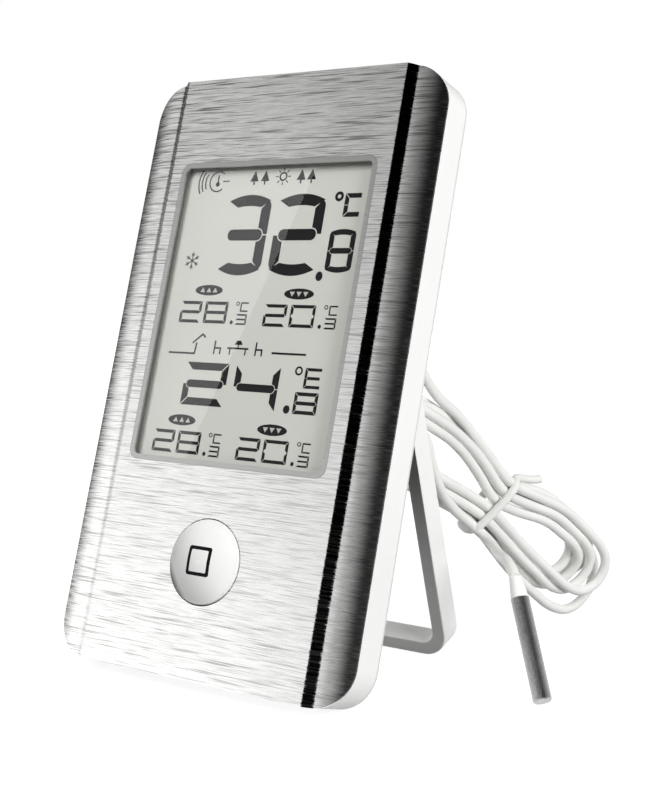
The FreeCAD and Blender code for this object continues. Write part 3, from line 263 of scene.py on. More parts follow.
def display_grey():
    """The reflective rear of the display seen through its glass."""
    material, tree, shader = new_material("display_grey", Roughness=0.6, Specular_IOR_Level=0.1)
    place = case_millimetres(tree)
    tone = noise(tree, stretched(tree, place, (30.0, 30.0, 30.0)), 1.0, 2.0)
    tree.links.new(two_tone(tree, tone, 0.3, 0.7, (0.66, 0.665, 0.63), (0.685, 0.69, 0.65)),
                   shader.inputs["Base Color"])
    sparkle = noise(tree, place, 6.0, 1.0)
    bump = node(tree, "ShaderNodeBump", {"Height": sparkle, "Distance": 0.001 * MM})
    tree.links.new(bump.outputs[0], shader.inputs["Normal"])
    return material


def circuit_board():
    """Green solder mask over copper tracks."""
    material, tree, shader = new_material("circuit_board", Roughness=0.4, Specular_IOR_Level=0.5)
    place = case_millimetres(tree)
    cells = node(tree, "ShaderNodeTexVoronoi",
                 {"Vector": stretched(tree, place, (3.0, 3.0, 3.0)), "Scale": 1.0},
                 feature="DISTANCE_TO_EDGE").outputs["Distance"]
    tree.links.new(two_tone(tree, cells, 0.06, 0.10, (0.02, 0.16, 0.05), (0.01, 0.09, 0.03)),
                   shader.inputs["Base Color"])
    return material


def tinted(material, shade):
    """Multiplies a moulded material's colour by what shade(tree) gives."""
    tree = material.node_tree
    target = tree.nodes["Principled BSDF"].inputs["Base Color"]
    before = target.links[0].from_socket
    tree.links.new(scaled(tree, before, shade(tree)), target)
    return material


# Millimetres in the case's frame, except STAND_FRONT, the way the folded-out stand's front faces.
WINDOW_HALF = 27.4
WINDOW_MIDDLE = 86.5
WINDOW_TALL = 73.2
WALL_MARGIN = 0.3
# WALL_SHADE is painted shade in the window's recess.
WALL_SHADE = 0.10
# A faint grey band near the rear edge, darker in colour.
REAR_BAND_START = (8.5, 8.9)
REAR_BAND_END = (9.3, 9.8)
REAR_BAND_LEVEL = 0.72
# TOP_SHADE is painted shade on the upward faces.
TOP_SHADE = 0.74
BUTTON_HEIGHT = 26.8
BUTTON_DARK_WAY = (-0.80, -0.60)
BUTTON_BROAD = (-4.0, 9.0, 1.0, 0.62)
BUTTON_EDGE = (7.4, 9.7, 1.0, 0.16)
STAND_FRONT = (0.0, -0.958, -0.287)
STAND_FADE = (4.0, 48.0, 0.66, 0.10)


def facing(tree, way):
    """How far the surface's own normal points along a fixed direction of the object."""
    return node(tree, "ShaderNodeVectorMath",
                {0: node(tree, "ShaderNodeTexCoord").outputs["Normal"], 1: way},
                operation="DOT_PRODUCT").outputs["Value"]


def case_shade(tree):
    """Painted shade inside the window's opening and on the upward faces, and a faint grey band near the rear
    edge.
    """
    x, y, z = node(tree, "ShaderNodeSeparateXYZ", {0: case_millimetres(tree)}).outputs
    inside = maths(tree, "LESS_THAN", maths(tree, "ABSOLUTE", x), WINDOW_HALF + WALL_MARGIN)
    high = maths(tree, "LESS_THAN", maths(tree, "ABSOLUTE", maths(tree, "SUBTRACT", z, WINDOW_MIDDLE)),
                 WINDOW_TALL / 2 + WALL_MARGIN)
    front = maths(tree, "LESS_THAN", y, 0.0)
    # Painted shade on the walls inside the window's opening.
    recess_painted_shade = maths(tree, "MULTIPLY", maths(tree, "MULTIPLY", inside, high), front)
    # A faint grey band near the rear edge.
    rear_band = maths(tree, "MULTIPLY", between(tree, y, *REAR_BAND_START, 0.0, 1.0),
                 between(tree, y, *REAR_BAND_END, 1.0, 0.0))
    # Painted shade on the upward faces.
    top_painted_shade = between(tree, facing(tree, UPWARD), 0.15, 0.95, 1.0, TOP_SHADE, "SMOOTHSTEP")
    shade = maths(tree, "MULTIPLY", between(tree, rear_band, 0.0, 1.0, 1.0, REAR_BAND_LEVEL), top_painted_shade)
    return maths(tree, "MULTIPLY", shade, between(tree, recess_painted_shade, 0.0, 1.0, 1.0, WALL_SHADE))


def button_shade(tree):
    """Painted shade: the domed button darkens towards its lower left edge."""
    x, _, z = node(tree, "ShaderNodeSeparateXYZ", {0: case_millimetres(tree)}).outputs
    up = maths(tree, "SUBTRACT", z, BUTTON_HEIGHT)
    sideways, upwards = BUTTON_DARK_WAY
    away = maths(tree, "ADD", maths(tree, "MULTIPLY", x, sideways), maths(tree, "MULTIPLY", up, upwards))
    broad = between(tree, away, *BUTTON_BROAD, "SMOOTHSTEP")
    edge = between(tree, away, *BUTTON_EDGE, "SMOOTHSTEP")
    return maths(tree, "MULTIPLY", broad, edge)


def stand_shade(tree):
    """Painted shade: the stand's faces towards the case are darker, most of all near its pivot."""
    height = node(tree, "ShaderNodeSeparateXYZ", {0: millimetres(tree)}).outputs[2]
    dark = between(tree, height, *STAND_FADE)
    is_front = maths(tree, "GREATER_THAN", facing(tree, STAND_FRONT), 0.8)
    return maths(tree, "ADD", maths(tree, "SUBTRACT", 1.0, is_front), maths(tree, "MULTIPLY", is_front, dark))


WHITE = (0.90, 0.90, 0.89)
MATERIALS = {
    "white_case": tinted(moulded("white_case", WHITE, 0.34, shade=0.015), case_shade),
    "button_white": tinted(moulded("button_white", WHITE, 0.30, shade=0.02), button_shade),
    "stand_white": tinted(moulded("stand_white", WHITE, 0.34, shade=0.02), stand_shade),
    "brushed_metal": brushed_aluminium(),
    "rim_silver": drawn_metal("rim_silver", (0.56, 0.56, 0.545), 0.36, streak=(5.0, 5.0, 0.3)),
    "clear_window": window_plastic(),
    "display_grey": display_grey(),
    "holder_white": moulded("holder_white", (0.72, 0.72, 0.70), 0.5),
    "conductive_rubber": moulded("conductive_rubber", (0.05, 0.05, 0.055), 0.8, shade=0.3),
    "board_green": circuit_board(),
    "chip_black": moulded("chip_black", (0.015, 0.015, 0.017), 0.35, shade=0.2),
    "bright_steel": drawn_metal("bright_steel", (0.62, 0.61, 0.58), 0.28, streak=(0.6, 0.6, 0.6)),
    "probe_steel": drawn_metal("probe_steel", (0.52, 0.51, 0.51), 0.44, contrast=0.3),
    "switch_black": moulded("switch_black", (0.02, 0.02, 0.022), 0.4, shade=0.25),
    "cell_jacket": moulded("cell_jacket", (0.05, 0.16, 0.08), 0.32, grain=1.5, shade=0.15),
    "cord_white": moulded("cord_white", (0.84, 0.845, 0.82), 0.42, grain=0.5, grain_height=0.006, shade=0.04),
    "sensor_bead": moulded("sensor_bead", (0.03, 0.02, 0.02), 0.25, shade=0.3),
}
SLOT_OF = {}
for slot_name, members in {
    "white_case": ("front_shell", "rear_cover", "battery_door"),
    "button_white": ("button_cap",),
    "stand_white": ("stand",),
    "brushed_metal": ("fascia_plate",),
    "rim_silver": ("window_rim",),
    "clear_window": ("display_lens",),
    "display_grey": ("lcd_glass",),
    "holder_white": ("display_holder",),
    "conductive_rubber": ("contact_strips",),
    "board_green": ("main_board",),
    "chip_black": ("chip_cover",),
    "bright_steel": ("crystal", "battery_spring", "battery_contact", "housing_screws", "board_screws"),
    "probe_steel": ("probe_sleeve",),
    "switch_black": ("tact_switch", "switch_plunger", "unit_switch_body", "unit_slider"),
    "cell_jacket": ("battery_cell",),
    "cord_white": ("cable_grommet", "lead_wires", "cord_lead", "cord_hank", "cord_tie", "probe_lead",
                   "probe_boot"),
    "sensor_bead": ("indoor_sensor", "probe_sensor"),
}.items():
    for member in members:
        SLOT_OF[member] = slot_name


def paint(thing, material):
    thing.data.materials.clear()
    thing.data.materials.append(material)


for name, thing in NODES.items():
    paint(thing, MATERIALS[SLOT_OF[name]])


# ---------------------------------------------------------------- mesh pieces
def new_piece(name, points, faces, material, body):
    mesh = bpy.data.meshes.new(name)
    mesh.from_pydata([tuple(point) for point in points], [], faces)
    mesh.validate()
    work = bmesh.new()
    work.from_mesh(mesh)
    bmesh.ops.recalc_face_normals(work, faces=work.faces)
    work.to_mesh(mesh)
    work.free()
    thing = bpy.data.objects.new(name, mesh)
    scene.collection.objects.link(thing)
    paint(thing, material)
    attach(thing, body)
    return thing


# ---------------------------------------------------------------- sensor cord
# The route's points are in millimetres in the row frame. The hank's turns are points of the same spline.
CORD_DIAMETER = 2.6
CORD_EXIT = (18.0, 16.92, 93.13)
LEAD_ROUTE = [(18.0, 23.5, 91.0), (19.6, 28.0, 85.8), (22.4, 28.0, 78.4), (27.6, 25.2, 71.6),
              (32.3, 25.2, 64.6), (34.2, 29.5, 58.0)]
PROBE_ROUTE = [(41.0, 39.2, 26.6), (44.6, 34.8, 25.8), (49.0, 29.0, 26.2), (54.2, 21.4, 27.4)]
HANK_WAIST = Vector((35.2, 44.2, 35.7))
HANK_FOOT = Vector((46.8, 78.9, 6.5))
HANK_ACROSS = Vector((0.52, 0.425, 0.741))
PROBE_TIP = Vector((70.4, 6.3, 0.95))
PROBE_TOP = Vector((60.3, 15.0, 21.0))
BOOT_LENGTH = 5.0
BOOT_TOP = PROBE_TOP + (PROBE_TOP - PROBE_TIP).normalized() * BOOT_LENGTH
TOWARDS_FOOT = (HANK_FOOT - HANK_WAIST).normalized()
OUT_OF_HANK = TOWARDS_FOOT.cross(HANK_ACROSS).normalized()
ACROSS_HANK = OUT_OF_HANK.cross(TOWARDS_FOOT)
HANK_AXES = np.array([TOWARDS_FOOT, ACROSS_HANK, OUT_OF_HANK])
HANK_ORIGIN = np.array(HANK_WAIST)


def in_hank(points):
    """Row millimetres to the hank's own: towards its foot, across it, out of it."""
    return (np.array(points) - HANK_ORIGIN) @ HANK_AXES.T


def from_hank(points):
    return np.array(points) @ HANK_AXES + HANK_ORIGIN


# Each turn: foot end's reach, its two sides' height; top end's reach and sides; places in the tie; layers
TURNS = [
    (45.0, 13.4, -1.0, 49.0, 11.4, -2.6, 7.9, 0.3, 2.9, 2.9),
    (41.5, 11.2, -3.4, 46.0, 8.8, -5.2, 5.35, -2.2, 2.9, 2.9),
    (38.0, 9.4, -5.0, 43.0, 7.6, -6.6, 2.8, 0.3, 2.9, 0.0),
    (40.5, 13.0, -2.4, 49.0, 11.0, -3.4, 7.9, -2.2, 0.0, 0.0),
    (35.0, 9.8, -5.4, 45.0, 8.4, -6.0, 5.35, -4.7, 0.0, 0.0),
    (41.5, 13.8, -6.0, 49.0, 10.8, -4.6, 7.9, -2.2, -2.9, -2.9),
    (49.0, 11.5, -7.6, 46.0, 8.4, -7.4, 5.35, -4.7, -2.9, 2.9),
]
STRAIGHT = (0.0, 0.27, 0.54, 0.8, 1.0)
ROUND_END = (45.0, 90.0, 135.0)
OUTSIDE_ARC = 1.04


def lobe(reach, width):
    """How far along a lobe each of its 12 points lies, and on which side: out, round its end, and back."""
    half = width / 2
    run = reach - half
    turn = [(run + half * OUTSIDE_ARC * math.sin(math.radians(angle)),
             0.5 + 0.5 * OUTSIDE_ARC * math.cos(math.radians(angle))) for angle in ROUND_END]
    return [(run * t, 1.0) for t in STRAIGHT] + turn + [(run * t, 0.0) for t in reversed(STRAIGHT[1:])]


OPENING = 20.0
DROOP_START = 14.0
DROOP_END = 50.0
DROOP = 6.0
DROOP_CURVE = 1.25
TIE_MIDDLE = 1.6
TIE_HALF_WIDTH = 6.3
TIE_REACH = 3.5
TIE_HALF_DEPTH = 2.9
FREE_ROOM = 5.0
LOWEST_LINE = 1.6
ROUNDS = 150
PULL_BACK = 0.02
STIFFNESS = 0.25


def one_turn(index):
    """The points of one turn of the hank, in the hank's own frame: the foot's lobe, then the top's."""
    low, low_a, low_b, top, top_a, top_b, place_a, place_b, layer_a, layer_b = TURNS[index]
    following = TURNS[min(index + 1, len(TURNS) - 1)]
    points = []
    for along, side in lobe(low, low_a - low_b):
        opened = smooth(along / OPENING)
        height = mix(mix(place_b, low_b, opened), mix(place_a, low_a, opened), side)
        points.append((along, height, mix(layer_b, layer_a, side)))
    top_a, place_a, layer_a = following[4], following[6], following[8]
    for along, side in lobe(top, top_a - top_b):
        opened = smooth(along / OPENING)
        height = mix(mix(place_a, top_a, opened), mix(place_b, top_b, opened), side)
        if along > DROOP_START:
            height -= DROOP * ((along - DROOP_START) / (DROOP_END - DROOP_START)) ** DROOP_CURVE
        points.append((-along, height, mix(layer_a, layer_b, side)))
    return points


def spline_weights(count, per):
    """How much of each point a clamped order 3 spline takes, at per places in each span."""
    knots = np.array([0] * 3 + list(range(1, count - 2)) + [count - 2] * 3, float)
    places = np.linspace(0, count - 2, (count - 2) * per + 1)
    weights = np.zeros((len(places), count))
    for row, place in enumerate(places):
        last = min(int(place) + 2, count - 1)
        values = [1.0, 0.0, 0.0]
        for order in (1, 2):
            saved = 0.0
            for step in range(order):
                after = knots[last + step + 1] - place
                before = place - knots[last + 1 - (order - step)]
                share = values[step] / (after + before)
                values[step] = saved + after * share
                saved = before * share
            values[order] = saved
        weights[row, last - 2:last + 1] = values
    return weights


def keep_inside(points):
    """The tie holds the strands together, and the floor holds them up."""
    points = points.copy()
    near = np.abs(points[:, 0]) < TIE_REACH
    free = np.clip(np.abs(points[:, 0]) / TIE_REACH, 0, 1)
    wide = TIE_HALF_WIDTH + free * FREE_ROOM
    deep = TIE_HALF_DEPTH + free * FREE_ROOM
    points[near, 1] = np.clip(points[near, 1], (TIE_MIDDLE - wide)[near], (TIE_MIDDLE + wide)[near])
    points[near, 2] = np.clip(points[near, 2], -deep[near], deep[near])
    height = from_hank(points)[:, 2]
    low = height < LOWEST_LINE
    points[low, 1] += (LOWEST_LINE - height[low]) / ACROSS_HANK.z * 0.5
    return points


def settle(start, fixed):
    """Pushes the strands apart until they lie beside each other."""
    points, per = start.copy(), 4
    weights = spline_weights(len(points), per)
    share = weights.sum(0)[:, None]
    order = np.arange(len(weights))
    apart = np.abs(order[:, None] - order[None, :]) > per * 2
    reach = CORD_DIAMETER * 1.02
    for _ in range(ROUNDS):
        line = weights @ points
        away = line[:, None, :] - line[None, :, :]
        distance = np.sqrt((away ** 2).sum(2)) + 1e-9
        close = (distance < reach) & apart
        push = np.where(close, (reach - distance) / distance * 0.5, 0)[:, :, None] * away
        push = push.sum(1) / np.sqrt(np.maximum(close.sum(1), 1))[:, None]
        move = weights.T @ push / share * 1.3
        drift = points - start
        bend = np.zeros_like(points)
        bend[1:-1] = (drift[:-2] + drift[2:]) / 2 - drift[1:-1]
        stiff = np.zeros_like(points)
        stiff[1:-1] = (bend[:-2] + bend[2:]) / 2 - bend[1:-1]
        move -= PULL_BACK * drift + STIFFNESS * stiff
        points = np.where(fixed[:, None], points, keep_inside(points + move))
    return points


LEFT_OUT = 4


def cord_points():
    """The whole cord's points, in row millimetres. It leaves its last turn early, on its way to the probe."""
    lead = in_hank([CORD_EXIT] + LEAD_ROUTE)
    into = [(-26.0, 11.6, 1.6), (-12.0, 9.8, 2.4)]
    turns = [point for index in range(len(TURNS)) for point in one_turn(index)][:-LEFT_OUT]
    out = [(-33.0, 4.6, 3.8), (-25.5, -0.4, 4.6), (-17.5, -4.2, 4.6), (-10.0, -5.4, 3.8), (-4.0, -5.3, 3.5),
           (0.6, -5.3, 4.8), (3.0, -5.5, 7.2)]
    probe = in_hank(PROBE_ROUTE + [tuple(BOOT_TOP)])
    whole = np.vstack([lead[:-1], into, turns, out, probe])
    fixed = np.zeros(len(whole), bool)
    fixed[:len(lead) - 1] = True
    fixed[-len(probe):] = True
    return from_hank(settle(whole, fixed))


def nurbs(name, points, diameter, material, body):
    """A round cord along one open spline. Its points are in row millimetres."""
    curve = bpy.data.curves.new(name, "CURVE")
    curve.dimensions = "3D"
    line = curve.splines.new("NURBS")
    line.points.add(len(points) - 1)
    for target, point in zip(line.points, points):
        target.co = (*[value * MM for value in point], 1.0)
    line.order_u = 3
    line.use_endpoint_u = True
    line.resolution_u = 8
    curve.bevel_depth = diameter / 2 * MM
    curve.bevel_resolution = 5
    curve.use_fill_caps = True
    thing = bpy.data.objects.new(name, curve)
    scene.collection.objects.link(thing)
    paint(thing, material)
    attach(thing, body)
    return thing


cord = nurbs("sensor_cord", cord_points(), CORD_DIAMETER, MATERIALS["cord_white"], "case")
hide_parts("cord_lead", "cord_hank", "probe_lead")

TIE_DIAMETER = 2.1
TIE_ROUND = [(10.6, 1.6), (9.6, 3.9), (7.6, 5.0), (3.0, 5.3), (-2.0, 5.2), (-5.6, 4.8), (-7.4, 2.8),
             (-7.6, 0.0), (-7.2, -3.0), (-5.2, -4.6), (0.0, -5.2), (5.0, -5.1), (8.0, -4.6)]


def tie_points():
    """The twist tie: a tail, once round the waist, and the end tucked under."""
    tail = [(5.8, 14.6, 3.2), (4.2, 13.4, 3.6), (2.6, 12.2, 3.2)]
    loop = [(0.6 - 0.9 * step / len(TIE_ROUND) + 0.55 * max(0.0, -out), across, out)
            for step, (across, out) in enumerate(TIE_ROUND)]
    return from_hank(tail + loop)


tie = nurbs("twist_tie", tie_points(), TIE_DIAMETER, MATERIALS["cord_white"], "case")
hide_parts("cord_tie")


# ---------------------------------------------------------------- display artwork
MARK_FRONT = -0.875
MARK_BACK = -0.845
INK = moulded("display_ink", (0.010, 0.009, 0.011), 0.6, shade=0.2, Specular_IOR_Level=0.05)
PAPER = moulded("display_ground", (0.545, 0.55, 0.515), 0.6, shade=0.02, Specular_IOR_Level=0.05)


class Artwork:
    """Flat shapes just in front of the display's glass, as one piece."""

    def __init__(self, name, material, front=MARK_FRONT, back=MARK_BACK):
        self.name, self.material, self.front, self.back = name, material, front, back
        self.points, self.faces = [], []

    def shape(self, outline):
        """A flat shape with that outline, in case millimetres across and up."""
        first, count = len(self.points), len(outline)
        for depth in (self.front, self.back):
            self.points += [on_case(x, depth, z) for x, z in outline]
        self.faces.append(list(range(first, first + count)))
        self.faces.append(list(range(first + 2 * count - 1, first + count - 1, -1)))
        for step in range(count):
            after = (step + 1) % count
            self.faces.append([first + step, first + after, first + count + after, first + count + step])

    def ring(self, middle, radius, stroke, start=0.0, end=360.0, squeeze=1.0, steps=40):
        """A round band, whole or part, as one strip of shapes."""
        whole = abs(end - start) >= 360.0
        angles = [math.radians(start + (end - start) * step / steps) for step in range(steps + 1)]
        inner, outer = radius - stroke / 2, radius + stroke / 2
        if not whole:
            self.shape([(middle[0] + outer * squeeze * math.cos(a), middle[1] + outer * math.sin(a))
                        for a in angles] +
                       [(middle[0] + inner * squeeze * math.cos(a), middle[1] + inner * math.sin(a))
                        for a in reversed(angles)])
            return
        for half in (angles[:steps // 2 + 1], angles[steps // 2:]):
            self.shape([(middle[0] + outer * squeeze * math.cos(a), middle[1] + outer * math.sin(a))
                        for a in half] +
                       [(middle[0] + inner * squeeze * math.cos(a), middle[1] + inner * math.sin(a))
                        for a in reversed(half)])

    def disc(self, middle, wide, high, steps=36):
        self.shape([(middle[0] + wide * math.cos(2 * math.pi * s / steps),
                     middle[1] + high * math.sin(2 * math.pi * s / steps)) for s in range(steps)])

    def bar(self, start, end, stroke):
        """A straight stroke with square ends."""
        along = Vector((end[0] - start[0], end[1] - start[1])).normalized() * stroke / 2
        aside = Vector((-along.y, along.x))
        ends = (Vector(start) - along, Vector(end) + along)
        self.shape([tuple(ends[0] - aside), tuple(ends[1] - aside), tuple(ends[1] + aside),
                    tuple(ends[0] + aside)])

    def finish(self):
        return new_piece(self.name, self.points, self.faces, self.material, "case")


SEGMENTS = {"0": "abcdef", "2": "abged", "3": "abgcd", "4": "fgbc", "8": "abcdefg"}
ARC_STEPS = 8


def digit(art, number, left, right, bottom, top, stroke, drop=0.0, gap=0.16):
    """A seven segment digit. drop is how far its top and bottom strokes curve down at their ends."""
    wide, middle = right - left, (bottom + top) / 2
    half_high = (top - bottom) / 2
    shown = SEGMENTS[number]

    def outer(a):
        return half_high - drop * (2 * a / wide - 1) ** 2

    def inner(a):
        return half_high - stroke - drop * 0.8 * (2 * a / wide - 1) ** 2

    def put(points, flip_side, flip_up):
        art.shape([(right - a if flip_side else left + a, middle - b if flip_up else middle + b)
                   for a, b in points])

    steps = 14 if drop else 1
    lay = [gap + (wide - 2 * gap) * s / steps for s in range(steps + 1)]
    back = [wide - stroke - gap - (wide - 2 * stroke - 2 * gap) * s / steps for s in range(steps + 1)]
    cap = [(a, outer(a)) for a in lay] + [(a, inner(a)) for a in back]
    if "a" in shown:
        put(cap, False, False)
    if "d" in shown:
        put(cap, False, True)
    radius = stroke / 2 + gap
    curve = [(stroke + radius * math.cos(t), radius * math.sin(t))
             for t in [math.pi / 2 + math.pi / 2 * s / ARC_STEPS * 0.94 for s in range(ARC_STEPS + 1)]]
    corner = min(0.35 * stroke, 0.9) if drop else 0.0
    shoulder = [(0.0, outer(0) - gap - corner), (corner * 0.3, outer(0) - gap * 0.6 - corner * 0.3),
                (corner, outer(corner) - gap)] if drop else [(0.0, outer(0) - gap)]
    side = shoulder + [(stroke, inner(stroke) - gap)] + curve + [(0.0, gap * 0.5)]
    for letter, flip_side, flip_up in (("f", False, False), ("b", True, False), ("e", False, True),
                                       ("c", True, True)):
        if letter in shown:
            put(side, flip_side, flip_up)
    if "g" in shown:
        turn = [math.pi / 2 + math.pi * s / (2 * ARC_STEPS) for s in range(2 * ARC_STEPS + 1)]
        left_end = [(stroke + stroke / 2 * math.cos(t), stroke / 2 * math.sin(t)) for t in turn]
        right_end = [(wide - a, -b) for a, b in left_end]
        put(left_end + right_end, False, False)


def unit_mark(art, ring_at, ring_radius, left, right, bottom, top, stroke, bars="top bottom"):
    """The degree ring and the unit's own segments."""
    art.ring(ring_at, ring_radius, stroke * 0.62, steps=28)
    gap = stroke * 0.12
    if "top" in bars:
        art.shape([(left + gap, top), (right, top), (right, top - stroke),
                   (left + stroke + gap, top - stroke)])
    if "bottom" in bars:
        art.shape([(left + gap, bottom), (left + stroke + gap, bottom + stroke), (right, bottom + stroke),
                   (right, bottom)])
    middle = (top + bottom) / 2
    art.shape([(left, top - gap), (left + stroke, top - stroke - gap), (left + stroke, middle + gap / 2),
               (left, middle + gap / 2)])
    art.shape([(left, middle - gap / 2), (left + stroke, middle - gap / 2),
               (left + stroke, bottom + stroke + gap), (left, bottom + gap)])
    if "middle" in bars:
        art.shape([(left + stroke + gap, middle + stroke / 2), (right - stroke * 0.4, middle + stroke / 2),
                   (right - stroke * 0.4, middle - stroke / 2), (left + stroke + gap, middle - stroke / 2)])


def small_reading(art, first, second, left, top):
    """A highest or lowest value: two digits, a point, a small digit and the unit."""
    bottom = top - 5.4
    digit(art, first, left, left + 6.5, bottom, top, 0.78, gap=0.10)
    digit(art, second, left + 7.55, left + 14.5, bottom, top, 0.78, gap=0.10)
    art.disc((left + 16.25, bottom + 0.4), 0.46, 0.5, 20)
    digit(art, "3", left + 17.35, left + 20.6, bottom - 0.15, bottom + 2.5, 0.42, gap=0.07)
    unit_mark(art, (left + 17.3, top - 0.4), 0.42, left + 18.2, left + 20.5, top - 2.35, top, 0.36)


def readings():
    """Every number on the display, with its point and unit."""
    art = Artwork("display_digits", INK)
    digit(art, "3", -14.0, -0.9, 95.3, 115.5, 2.8, drop=1.7, gap=0.30)
    digit(art, "2", 1.2, 14.8, 95.3, 115.4, 2.8, drop=1.7, gap=0.30)
    art.disc((16.3, 95.3), 0.95, 1.15)
    digit(art, "8", 17.4, 24.6, 96.2, 106.6, 1.35, drop=0.75, gap=0.13)
    unit_mark(art, (18.2, 114.5), 0.85, 19.9, 24.3, 109.5, 115.2, 1.15)
    small_reading(art, "2", "8", -22.95, 88.7)
    small_reading(art, "2", "0", 2.5, 88.4)
    digit(art, "2", -17.8, -4.9, 63.1, 73.6, 1.85, gap=0.18)
    digit(art, "4", -2.6, 10.2, 62.9, 73.5, 1.85, gap=0.18)
    art.disc((13.6, 63.8), 0.9, 0.98)
    digit(art, "8", 15.3, 21.8, 62.9, 68.0, 0.85, gap=0.10)
    unit_mark(art, (15.3, 72.9), 0.85, 17.1, 21.6, 68.9, 73.7, 0.72, "top middle bottom")
    small_reading(art, "2", "8", -24.0, 56.7)
    small_reading(art, "2", "0", 1.5, 56.5)
    return art.finish()


# Each badge's middle, and whether its arrows point up, for the highest value, or down, for the lowest.
BADGES = (((-15.2, 91.5), 1), ((11.55, 91.0), -1), ((-16.25, 59.3), 1), ((10.65, 58.75), -1))


def pictograms():
    """Signs in the places of the words: trees and a sun for outside, a lit table and chairs for inside."""
    art = Artwork("display_signs", INK)
    for radius in (3.6, 4.7, 5.7):
        art.ring((-18.9, 119.2), radius, 0.36, 148.0, 212.0, steps=16)
    art.ring((-18.6, 119.2), 2.55, 0.36, 50.0, 310.0, steps=30)
    art.disc((-18.6, 118.5), 0.62, 0.62, 20)
    art.bar((-18.6, 118.7), (-18.6, 120.6), 0.42)
    art.bar((-16.9, 119.2), (-15.2, 119.2), 0.32)
    for middle in (-7.4, -4.2, 6.4, 9.4):
        art.shape([(middle - 1.25, 118.9), (middle + 1.25, 118.9), (middle, 121.6)])
        art.bar((middle, 118.2), (middle, 118.8), 0.42)
    art.ring((1.1, 119.9), 0.95, 0.42, steps=24)
    for step in range(8):
        turn = math.radians(45.0 * step)
        art.bar((1.1 + 1.55 * math.cos(turn), 119.9 + 1.55 * math.sin(turn)),
                (1.1 + 2.05 * math.cos(turn), 119.9 + 2.05 * math.sin(turn)), 0.26)
    for step in range(3):
        turn = math.radians(60.0 * step + 30.0)
        tip = (2.1 * math.cos(turn), 2.1 * math.sin(turn))
        art.bar((-22.2 - tip[0], 98.9 - tip[1]), (-22.2 + tip[0], 98.9 + tip[1]), 0.26)
    for step in range(6):
        turn = math.radians(60.0 * step + 30.0)
        for spread in (-0.6, 0.6):
            art.bar((-22.2 + 1.15 * math.cos(turn), 98.9 + 1.15 * math.sin(turn)),
                    (-22.2 + 1.15 * math.cos(turn) + 0.72 * math.cos(turn + spread),
                     98.9 + 1.15 * math.sin(turn) + 0.72 * math.sin(turn + spread)), 0.22)
    for middle, _ in BADGES:
        art.disc(middle, 4.2, 1.32, 44)
    art.bar((-24.0, 75.7), (-16.4, 75.7), 0.44)
    art.bar((-16.2, 75.7), (-16.0, 78.2), 0.44)
    art.bar((-17.1, 78.4), (-14.6, 80.5), 0.44)
    art.bar((-14.5, 80.5), (-13.8, 79.9), 0.44)
    art.bar((7.0, 76.7), (16.2, 76.7), 0.5)
    for middle in (-9.4, 2.9):
        art.bar((middle - 0.9, 76.0), (middle - 0.9, 78.9), 0.42)
        art.bar((middle - 0.9, 77.3), (middle + 0.9, 77.3), 0.42)
        art.bar((middle + 0.9, 76.0), (middle + 0.9, 77.3), 0.42)
    art.bar((-6.2, 77.4), (-0.4, 77.4), 0.44)
    art.bar((-5.6, 76.0), (-5.6, 77.3), 0.36)
    art.bar((-1.0, 76.0), (-1.0, 77.3), 0.36)
    art.bar((-3.3, 77.8), (-3.3, 78.3), 0.3)
    art.shape([(-4.5, 78.3), (-2.1, 78.3), (-2.7, 79.3), (-3.9, 79.3)])
    art.finish()
    signs = Artwork("display_arrows", PAPER, MARK_FRONT - 0.02, MARK_FRONT + 0.005)
    for (x, z), up in BADGES:
        for shift in (-1.9, 0.0, 1.9):
            signs.shape([(x + shift - 0.72, z - 0.52 * up), (x + shift + 0.72, z - 0.52 * up),
                         (x + shift, z + 0.66 * up)])
    signs.finish()


readings()
pictograms()

# ---------------------------------------------------------------- mark on the button
MARK_PROUD = 0.03
MARK_DEEP = 0.08
MARK_OUTER = (3.25, 3.35, 0.6)
MARK_INNER = (2.45, 2.55, 0.3)
IN_FRONT = -30.0


CORNERS = ((1, -1), (1, 1), (-1, 1), (-1, -1))
CORNER_STEPS = 6
SIDE_STEPS = 8


def rounded_square(half_wide, half_high, corner):
    """A square's outline with round corners, with points along its sides so that it follows the dome."""

    def corner_point(index, degrees):
        side, height = CORNERS[index % len(CORNERS)]
        turn = math.radians(degrees)
        return (side * (half_wide - corner) + corner * math.cos(turn),
                height * (half_high - corner) + corner * math.sin(turn))

    points = []
    for index in range(len(CORNERS)):
        first = 90 * index - 90
        points += [corner_point(index, first + 90 * step / CORNER_STEPS) for step in range(CORNER_STEPS + 1)]
        end, start = points[-1], corner_point(index + 1, first + 90)
        points += [(mix(end[0], start[0], step / SIDE_STEPS), mix(end[1], start[1], step / SIDE_STEPS))
                   for step in range(1, SIDE_STEPS)]
    return points


def button_mark():
    """A black outline printed on the domed button."""
    cap = NODES["button_cap"]
    outer = rounded_square(*MARK_OUTER)
    inner = rounded_square(*MARK_INNER)
    count = len(outer)
    rows = []
    for outline in (outer, inner):
        for proud in (MARK_PROUD, -MARK_DEEP):
            row = []
            for x, z in outline:
                start = on_case(x, IN_FRONT, BUTTON_HEIGHT + z)
                place = cap.ray_cast(start, INWARD)[1]
                row.append(place - INWARD * proud * MM)
            rows.append(row)
    front_out, back_out, front_in, back_in = range(0, 4 * count, count)
    faces = []
    for step in range(count):
        after = (step + 1) % count
        for one, other in ((front_out, front_in), (front_in, back_in), (back_in, back_out),
                           (back_out, front_out)):
            faces.append([one + step, one + after, other + after, other + step])
    points = [point for row in rows for point in row]
    return new_piece("button_outline", points, faces, INK, "button")


button_mark()

